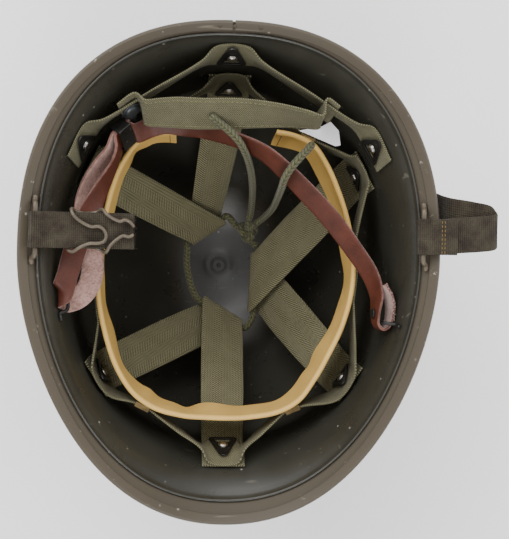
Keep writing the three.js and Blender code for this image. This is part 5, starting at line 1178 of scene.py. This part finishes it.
def make_clips():
    """The triangular clips, each with its rivet, and the folded grips on the sweatband."""
    for name, row in PLATES.items():
        if name.startswith(("clip_", "nape_clip_")):
            plate = plate_object("plate_" + name, row, CLIP, [CLIP_SLOT], 1.0,
                                 [MATERIALS["black"]], 0.3)
            settle(plate, "black_steel", name)
        elif name.startswith("sweatband_clip_"):
            grip = plate_object(name.replace("sweatband_clip_", "grip_"), row, GRIP, [], 9.0,
                                [MATERIALS["bronze"]], 0.15)
            settle(grip, "nickel", name)
    for name in HEADS:
        if name.startswith(("rivet_", "nape_rivet_")):
            foot, axis, radius, rise = head(name)
            profile = head_profile(radius, rise, 0.42, RIVET_FOOT, 0.8, 9)
            rivet = turned_object("head_" + name, foot, axis, profile, [MATERIALS["nickel"]], 32)
            settle(rivet, "nickel", name)


def gentle(size, length, phase):
    """A slow wave along a band that grows towards its edges, as worn webbing has."""
    return lambda far, share: size * np.sin(far / length + phase) * (0.35 + 0.65 * share**2) \
        + size * 0.5 * share * np.sin(far / (length * 0.61) + 2.1 * phase)


def stood_up(rows, closed=False, longest=25.0):
    """A band's rows, its way across turned to the vertical in each stretch past the longest."""
    rows = [tuple(row) for row in rows]
    out = []
    for a, b in zip(rows, rows[1:] + rows[:1] if closed else rows[1:]):
        out.append(a)
        a, b = np.array(a), np.array(b)
        if np.linalg.norm(b[:3] - a[:3]) < longest:
            continue
        for share in (0.1, 0.5, 0.9):
            row = a + (b - a) * share
            row[3:6] = row[3:6] * 0.1 + np.array([0, 0, math.copysign(0.9, row[5])])
            out.append(tuple(row))
    return out if closed else out + rows[-1:]


def strip(label, rows, thickness, material, count, slot, node, **shape):
    """A band of one cloth on all its faces, tied to its node."""
    band = band_object(label, rows, thickness, [MATERIALS[material]] * 3, count, **shape)
    settle(band, slot, node)


def make_webbing():
    """The crown bands, the headband, the nape strap and the nape band, with its snap and tag."""
    thick = bpy.context.scene.helmet_sizes.webbing / MM
    for k, side in enumerate(("rear", "front", "right")):
        node = "crown_band_" + side
        strip("crown_webbing_" + side, BANDS[node], thick, "webbing", 220, "webbing", node,
              ripple=gentle(0.12, 9, k))
    strip("headband_tape", stood_up(BANDS["headband"], True), thick, "tape", 360, "webbing",
          "headband", closed=True, ripple=gentle(0.1, 8, 1))
    strip("nape_v_strap", stood_up(BANDS["nape_strap"]), thick, "tape", 160, "webbing",
          "nape_strap")
    strip("nape_front_band", BANDS["nape_band"], thick, "tape", 180, "webbing", "nape_band",
          ripple=gentle(0.12, 10, 0.5))
    seams = [stitches_on(BANDS["nape_band"], thick, share, 22.0, 14.0, 2.6, face)
             for share in (-0.8, 0.8) for face in (-1, 1)]
    settle(join("nape_band_seams", seams), "webbing")
    for name, material, slot in (("nape_snap", "grey", "grey_cap"),
                                 ("nape_snap_back", "brass", "brass")):
        foot, axis, radius, rise = head(name)
        steps = [(0.2, 0), (0.94, 0), (1, 0.3), (0.99, rise * 0.3), (0.9, rise * 0.42)]
        profile = head_profile(radius, rise, rise * 0.42, steps, 0.82, 10)
        cap = turned_object(name + "_head", foot, axis, profile, [MATERIALS[material]], 48)
        settle(cap, slot, name)
    foot, axis = head("nape_snap")[:2]
    disc = turned_object("nape_snap_socket", foot + SNAP_SHIFT, axis, SNAP_SOCKET,
                         [MATERIALS["grey"]], 40)
    settle(disc, "grey_cap")
    card_tag = plate_object("blank_tag", PLATES["tag"], TAG, [], 0.5, [MATERIALS["white"]], 0.1)
    settle(card_tag, "white_tag", "tag")


def make_laces():
    """The braided lace ring through the crown bands, its knot and its two free ends.

    The knot is a trefoil: (sin t + 2 sin 2t, cos t - 2 cos 2t, -1.2 sin 3t) times its reach.
    """
    braid = [MATERIALS["lace"]]
    size = 4.6
    plump = lambda far, turn: 1 - 0.035 * np.abs(np.sin(far / 1.9 + turn))
    for name in ("lace_end_a", "lace_end_b"):
        run = RUNS[name]
        end = tube_object(name.replace("end", "tail"), run, size, braid, 16, 150, plump, 2.0)
        length = float(travelled(smooth_rows(run, 200))[-1]) * MM
        settle(end, "lace", name)
    ring = tube_object("lace_loop", RUNS["lace_ring"], size, braid, 16, 260, plump, 1.5)
    settle(ring, "lace", "lace_ring")
    t = full_turn(120)
    reach = 1.85
    tied = np.stack([np.sin(t) + 2 * np.sin(2 * t), np.cos(t) - 2 * np.cos(2 * t),
                     -1.2 * np.sin(3 * t)], axis=1) * reach + KNOT
    loops = [closed_tube("knot_turn", tied, size, braid, 14)]
    heart = np.array(KNOT)
    for start in (RUNS["lace_ring"][0], RUNS["lace_ring"][-1], RUNS["lace_end_a"][0],
                  RUNS["lace_end_b"][0]):
        start = np.array(start)
        way = unit(start - heart)
        stub = heart + way * np.linspace(2.0, np.linalg.norm(start - heart) + 1.2, 8)[:, None]
        loops.append(tube_object("knot_stub", stub, size * 0.98, braid, 14))
    settle(join("lace_tied_knot", loops), "lace", "lace_knot")


def make_sweatband():
    """The sweatband: a leather wall with a rolled top, folded corners and stitches at both ends.

    Two sine waves and a bump exp(-(distance / 5.5)^2) at each crease move the wall, as the share of
    its depth to the power 0.8. The pinch under the roll is a fine wave that thins the wall.
    """
    rows = smooth_rows(SWEATBAND, 260)
    at, out, down = rows[:, :3], unit(rows[:, 3:6]), unit(rows[:, 6:9] * 0.55 - (0, 0, 0.45))
    half, roll, deep, steps = 1.0, 1.6, 28.0, 12
    turn = np.radians(np.linspace(-20, 200, 13))
    walls = np.linspace(roll * 2.2, deep, steps)
    section_x = np.concatenate([np.full(steps, half), roll * np.cos(turn), np.full(steps, -half)])
    section_y = np.concatenate([walls[::-1], roll * 1.25 * (1 - np.sin(turn)), walls])
    far = travelled(at)
    fold = 0.5 * np.sin(far / 6.3 + 0.8 * np.sin(far / 19)) + 0.7 * np.sin(far / 13.7 + 1.1)
    corner = np.exp(-((far[:, None] - np.array(CREASES)) / 5.5) ** 2) @ np.array(CREASE_DEPTHS)
    drape = (fold + corner)[:, None] * np.clip(section_y / deep, 0, 1)[None, :] ** 0.8
    pinch = 0.12 * np.sin(far / 2.6)[:, None] * np.exp(-((section_y - 5.2) / 1.2) ** 2)[None, :] \
        * np.sign(section_x)[None, :]
    x = section_x[None, :] + drape - pinch
    points = at[:, None] + out[:, None] * x[..., None] \
        + down[:, None] * np.broadcast_to(section_y, x.shape)[..., None]
    uv = np.zeros((len(at) + 1, len(section_x) + 1, 2))
    uv[:len(at), :, 0] = far[:, None] * MM
    uv[:, :len(section_x), 1] = section_y * MM
    band = grid_object("sweatband_leather", points, [MATERIALS["tan"]], uv=uv)
    settle(band, "tan_leather", "sweatband")
    seams = []
    deep_at = np.arange(5.0, deep - 1.5, 2.1)
    for index in (2, len(at) - 3):
        sway = np.interp(deep_at, walls, drape[index, :steps][::-1])
        for face in (-half - 0.08, half + 0.08):
            places = at[index] + out[index] * (face + sway)[:, None] \
                + down[index] * deep_at[:, None]
            ways = np.repeat(down[index:index + 1], len(places), 0)
            seams.append(stitch_row(places, ways, 1.5, "gold"))
    settle(join("sweatband_seams", seams), "tan_leather")


def stitch_row(points, ways, length, material):
    """A row of stitches: short round threads, each a capsule along its own way."""
    ways = unit(ways)
    aside, other = two_across(ways, (0.2, 0.3, 0.93))
    t = np.linspace(-1, 1, 7)
    size = THREAD * np.sqrt(np.clip(1 - np.abs(t) ** 6, 0.05, 1))
    turn = full_turn(8)[None, None, :, None]
    ring = aside[:, None, None] * np.cos(turn) + other[:, None, None] * np.sin(turn)
    grid = points[:, None, None] + ways[:, None, None] * (t * length / 2)[None, :, None, None] \
        + ring * size[None, :, None, None]
    rows, cols = grid.shape[1:3]
    i, j = np.meshgrid(np.arange(rows - 1), np.arange(cols), indexing="ij")
    quad = np.stack([i * cols + j, i * cols + (j + 1) % cols, (i + 1) * cols + (j + 1) % cols,
                     (i + 1) * cols + j], axis=-1).reshape(-1, 4)
    caps = [list(range(cols))[::-1], [(rows - 1) * cols + k for k in range(cols)]]
    faces = []
    for base in range(0, len(points) * rows * cols, rows * cols):
        faces += (quad + base).tolist() + [[v + base for v in cap] for cap in caps]
    uv = np.zeros((sum(len(face) for face in faces), 2))
    return make_object("seam", grid.reshape(-1, 3), faces, [MATERIALS[material]], uv)


def stitches_on(rows, thickness, share, start, short, pitch, face):
    """Stitches along a band at a share of its half width, on one of its faces.

    They begin at the start and stop short of the band's end.
    """
    at, run, across, up, half = band_frames(rows, FINE_STEPS)
    far = travelled(at)
    pick = np.searchsorted(far, np.arange(start, far[-1] - short, pitch))
    points = at[pick] + across[pick] * (half[pick] * share)[:, None] \
        + up[pick] * (face * (thickness / 2 + 0.05))
    return stitch_row(points, run[pick], pitch * 0.68, "thread")


def stitches_across(rows, thickness, place, pitch, material, face):
    """A row of stitches across a band at a distance along it, clear of its edges."""
    at, _, across, up, half = band_frames(rows, FINE_STEPS)
    k = np.searchsorted(travelled(at), place)
    shares = np.arange(-half[k] * 0.86, half[k] * 0.86, pitch)
    points = at[k] + across[k] * shares[:, None] + up[k] * (face * (thickness / 2 + 0.05))
    return stitch_row(points, np.repeat(across[k:k + 1], len(shares), axis=0), pitch * 0.66,
                      material)


def frayed(rows, count, where, reach, size, material, slot, seed, span=(0, 1)):
    """Loose fibres at a band's end, or along its upper edge over a span of its path's share."""
    at, run, across, up, half = band_frames(rows, FINE_STEPS)
    rng = np.random.default_rng(seed)
    t = np.linspace(0, 1, 6)[:, None]
    fibres = []
    for share in np.arange(count) / (count - 1):
        if where == "end":
            index, side, way = -1, -0.95 + 1.9 * share, run[-1]
        else:
            index = int((FINE_STEPS - 1) * (span[0] + (span[1] - span[0]) * share))
            side, way = 0.93, across[index]
        start = at[index] + across[index] * half[index] * side - way * 0.6 \
            + up[index] * rng.uniform(-0.6, 0.6)
        long, bend = rng.uniform(0.3, 1.0) * reach, rng.uniform(-0.8, 0.8, 2)
        path = start + way * long * t + run[index] * bend[0] * t**2 + up[index] * bend[1] * t**2
        fibres.append(tube_object("fibre", path, size, [MATERIALS[material]], 5))
    settle(join("frayed_" + slot, fibres), slot)


def make_chin_strap():
    """The chin strap, smooth on one side and rough on the other, its slide and its loops."""
    black = [MATERIALS["black"]]
    sides = [MATERIALS["brown"], MATERIALS["flesh"], MATERIALS["cut"]]
    thick = bpy.context.scene.helmet_sizes.leather / MM
    strap = band_object("chin_strap_leather", BANDS["chin_strap"], thick, sides, 420,
                        ripple=gentle(0.12, 11, 0.3), across=10)
    settle(strap, "brown_leather", "chin_strap")
    frayed(BANDS["chin_strap"], 90, "edge", 2.0, 0.28, "tuft", "brown_leather", 11, (0.0, 0.055))
    slide = plate_object("chin_slide", PLATES["chin_buckle"], SLIDE, [SLIDE_WINDOW], 9.0, black,
                         0.45)
    settle(slide, "black_steel", "chin_buckle")
    foot, axis, radius, rise = head("chin_rivet")
    rivet = turned_object("chin_rivet_head", foot, axis, head_profile(radius, rise, 0.25), black,
                          28)
    settle(rivet, "black_steel", "chin_rivet")
    for side in ("left", "right"):
        name = "chin_loop_" + side
        loop = tube_object("wall_loop_" + side, RUNS[name], 2.0, black, 12, 70, rounded=0.8)
        settle(loop, "black_steel", name)


def make_web_straps():
    """The two web straps on the pot, their fixed wire loops, the wire hook and the plain clasp."""
    thick = bpy.context.scene.helmet_sizes.strap / MM
    wire = [MATERIALS["wire"]]
    for side in ("left", "right"):
        bale = tube_object("fixed_loop_" + side, RUNS[side + "_bale"], 3.0, wire, 16, 90,
                           rounded=1.4)
        settle(bale, "khaki_steel", side + "_bale")
    hook = tube_object("strap_hook", RUNS["left_hook"], 2.0, wire, 14, 260, rounded=0.9)
    settle(hook, "khaki_steel", "left_hook")
    left, right = BANDS["left_web_strap"], BANDS["right_web_strap"]
    strip("web_strap_left", left, thick, "strap_web", 130, "strap_webbing", "left_web_strap",
          ripple=gentle(0.42, 5, 0.8))
    strip("web_strap_right", right, thick, "strap_web", 260, "strap_webbing", "right_web_strap",
          ripple=gentle(0.12, 7, 0.2))
    middle = band_frames(right, FINE_STEPS)[0]
    top = int(np.argmax(np.where(np.abs(middle[:, 0] - STRAP_SEAM) < 2.0, middle[:, 2], -1e9)))
    rows = [stitches_across(right, thick, travelled(middle)[top] + shift, 2.4, "gold", face)
            for shift in (-0.8, 0.8) for face in (-1, 1)]
    settle(join("right_strap_seam", rows), "strap_webbing")
    clasp = plate_object("strap_end_clasp", PLATES["right_strap_clasp"], CLASP, [], 5.0, wire, 0.8)
    settle(clasp, "khaki_steel", "right_strap_clasp")
    frayed(left, 34, "end", 2.4, 0.3, "strap_web", "strap_webbing", 7)


def make_floor():
    """The pale floor under the helmet."""
    floor, tree, bsdf, where = new_material("Pale floor", Roughness=0.9)
    tone = noise(tree, where["Object"], 3.0, 2.0)
    feed(tree, bsdf, {"Base Color": blend(tree, tone, tint(246, 246, 247), tint(250, 250, 251))})
    corners = [(-1, -1), (1, -1), (1, 1), (-1, 1)]
    points = [(x * FLOOR_HALF, y * FLOOR_HALF, -FLOOR_DROP) for x, y in corners]
    stage = make_object("floor", points, [(0, 1, 2, 3)], [floor])


def make_lights(scene):
    """An even pale world and the soft lights."""
    world = bpy.data.worlds.new("Studio")
    world.use_nodes = True
    ground = world.node_tree.nodes["Background"]
    ground.inputs["Color"].default_value = (1.0, 1.0, 1.0, 1.0)
    ground.inputs["Strength"].default_value = 1.1
    scene.world = world
    for name, place, aim, size, power in LIGHTS:
        light = bpy.data.lights.new(name, "AREA")
        light.shape = "RECTANGLE"
        light.size, light.size_y = size
        light.energy = power
        lamp = bpy.data.objects.new(name, light)
        lamp.location = place
        lamp.rotation_euler = (Vector(aim) - Vector(place)).to_track_quat("-Z", "Y").to_euler()
        scene.collection.objects.link(lamp)


def make_stage():
    """A pale floor, soft lights and the camera at the photograph's place."""
    scene = bpy.context.scene
    make_floor()
    make_lights(scene)
    tilt, roll = math.radians(CAMERA_TILT), math.radians(CAMERA_ROLL)
    ahead = Vector((math.sin(tilt), 0, -math.cos(tilt)))
    right = Vector((math.cos(tilt), 0, math.sin(tilt)))
    top = Vector((0, 1, 0))
    across = right * math.cos(roll) + top * math.sin(roll)
    upright = -right * math.sin(roll) + top * math.cos(roll)
    data = bpy.data.cameras.new("Camera")
    data.sensor_fit = "VERTICAL"
    data.sensor_width = data.sensor_height = SENSOR
    data.lens = FOCUS_PIXELS * SENSOR / PHOTO_HEIGHT
    data.clip_start = 0.01
    camera = bpy.data.objects.new("Camera", data)
    turn = Matrix((across, upright, -ahead)).transposed().to_4x4()
    camera.matrix_world = Matrix.Translation(Vector(CAMERA_PLACE)) @ turn
    scene.collection.objects.link(camera)
    scene.camera = camera


# Add-on

def colour_property(label, about, red, green, blue):
    """A colour for the panel, its default given as a screen colour."""
    return bpy.props.FloatVectorProperty(name=label, description=about, subtype="COLOR", size=3,
                                         min=0.0, max=1.0, default=tint(red, green, blue)[:3])


def length_property(label, about, millimetres):
    """A length for the panel, in metres."""
    return bpy.props.FloatProperty(name=label, description=about, default=millimetres * MM,
                                   min=0.0005, max=0.005, unit="LENGTH", subtype="DISTANCE",
                                   precision=4)


class HelmetColours(bpy.types.PropertyGroup):
    """The helmet's colours."""
    paint: colour_property("Paint", "Matt olive-brown paint on the pot", 60, 53, 42)
    liner: colour_property("Liner", "Glossy dark resin of the liner", 46, 45, 39)
    webbing: colour_property("Webbing", "Crown bands, headband and nape straps", 99, 96, 73)
    strap: colour_property("Strap webbing", "Web straps on the pot", 50, 42, 35)
    lace: colour_property("Lace", "Braided lace", 72, 73, 46)
    sweatband: colour_property("Sweatband", "Tan leather of the sweatband", 206, 168, 94)
    leather: colour_property("Chin strap", "Smooth side of the chin strap", 79, 39, 28)
    wire: colour_property("Wire", "Painted loops and hook", 96, 86, 72)


class HelmetSizes(bpy.types.PropertyGroup):
    """The thicknesses of the helmet's soft parts."""
    webbing: length_property("Webbing", "Thickness of the liner's webbing", 1.3)
    strap: length_property("Strap webbing", "Thickness of the web straps", 1.8)
    leather: length_property("Strap leather", "Thickness of the chin strap", 2.0)


class PieceOperator:
    """What every operator here shares: it calls its own make function once."""

    def execute(self, context):
        self.make()
        return {"FINISHED"}


class HELMET_OT_materials(PieceOperator, bpy.types.Operator):
    """Make the finishes of every piece"""
    bl_idname = "helmet.materials"
    bl_label = "Finishes"
    make = staticmethod(make_materials)


class HELMET_OT_stage(PieceOperator, bpy.types.Operator):
    """Set the floor, the lights and the camera"""
    bl_idname = "helmet.stage"
    bl_label = "Stage"
    make = staticmethod(make_stage)


class HELMET_OT_laces(PieceOperator, bpy.types.Operator):
    """Lay the lace ring, its knot and its two free ends"""
    bl_idname = "helmet.laces"
    bl_label = "Laces"
    make = staticmethod(make_laces)


class HELMET_OT_pot(PieceOperator, bpy.types.Operator):
    """Build the steel pot and the edging round its rim"""
    bl_idname = "helmet.pot"
    bl_label = "Pot and edging"
    make = staticmethod(make_pot)


class HELMET_OT_liner(PieceOperator, bpy.types.Operator):
    """Build the liner inside the pot"""
    bl_idname = "helmet.liner"
    bl_label = "Liner"
    make = staticmethod(make_liner)


class HELMET_OT_clips(PieceOperator, bpy.types.Operator):
    """Build the clips, their rivets and the sweatband's grips"""
    bl_idname = "helmet.clips"
    bl_label = "Clips and rivets"
    make = staticmethod(make_clips)


class HELMET_OT_webbing(PieceOperator, bpy.types.Operator):
    """Build the crown bands, headband and nape straps, with the snap and the tag"""
    bl_idname = "helmet.webbing"
    bl_label = "Webbing"
    make = staticmethod(make_webbing)


class HELMET_OT_sweatband(PieceOperator, bpy.types.Operator):
    """Build the leather sweatband"""
    bl_idname = "helmet.sweatband"
    bl_label = "Sweatband"
    make = staticmethod(make_sweatband)


class HELMET_OT_chin_strap(PieceOperator, bpy.types.Operator):
    """Build the leather chin strap, its slide, rivet and wall loops"""
    bl_idname = "helmet.chin_strap"
    bl_label = "Chin strap"
    make = staticmethod(make_chin_strap)


class HELMET_OT_web_straps(PieceOperator, bpy.types.Operator):
    """Build the web straps on the pot, their loops, hook and clasp"""
    bl_idname = "helmet.web_straps"
    bl_label = "Web straps"
    make = staticmethod(make_web_straps)


OPERATORS = (HELMET_OT_materials, HELMET_OT_stage, HELMET_OT_laces, HELMET_OT_pot, HELMET_OT_liner,
             HELMET_OT_clips, HELMET_OT_webbing, HELMET_OT_sweatband, HELMET_OT_chin_strap,
             HELMET_OT_web_straps)


class HELMET_PT_panel(bpy.types.Panel):
    """The helmet's sizes, colours and pieces"""
    bl_idname = "HELMET_PT_panel"
    bl_label = "Steel helmet"
    bl_space_type = "VIEW_3D"
    bl_region_type = "UI"
    bl_category = "Helmet"

    def draw(self, context):
        scene = context.scene
        for group in (scene.helmet_sizes, scene.helmet_colours):
            box = self.layout.box()
            for name in group.__annotations__:
                box.prop(group, name)
        for kind in OPERATORS:
            self.layout.operator(kind.bl_idname)


CLASSES = (HelmetColours, HelmetSizes, *OPERATORS, HELMET_PT_panel)


def register():
    """Adds the classes and the scene's two groups of properties."""
    for kind in CLASSES:
        bpy.utils.register_class(kind)
    bpy.types.Scene.helmet_colours = bpy.props.PointerProperty(type=HelmetColours)
    bpy.types.Scene.helmet_sizes = bpy.props.PointerProperty(type=HelmetSizes)


def unregister():
    """Takes away what register added."""
    del bpy.types.Scene.helmet_sizes
    del bpy.types.Scene.helmet_colours
    for kind in reversed(CLASSES):
        bpy.utils.unregister_class(kind)


def main():
    """Builds the whole scene."""
    register()
    for kind in OPERATORS:
        group, name = kind.bl_idname.split(".")
        getattr(getattr(bpy.ops, group), name)()


if __name__ == "__main__":
    main()
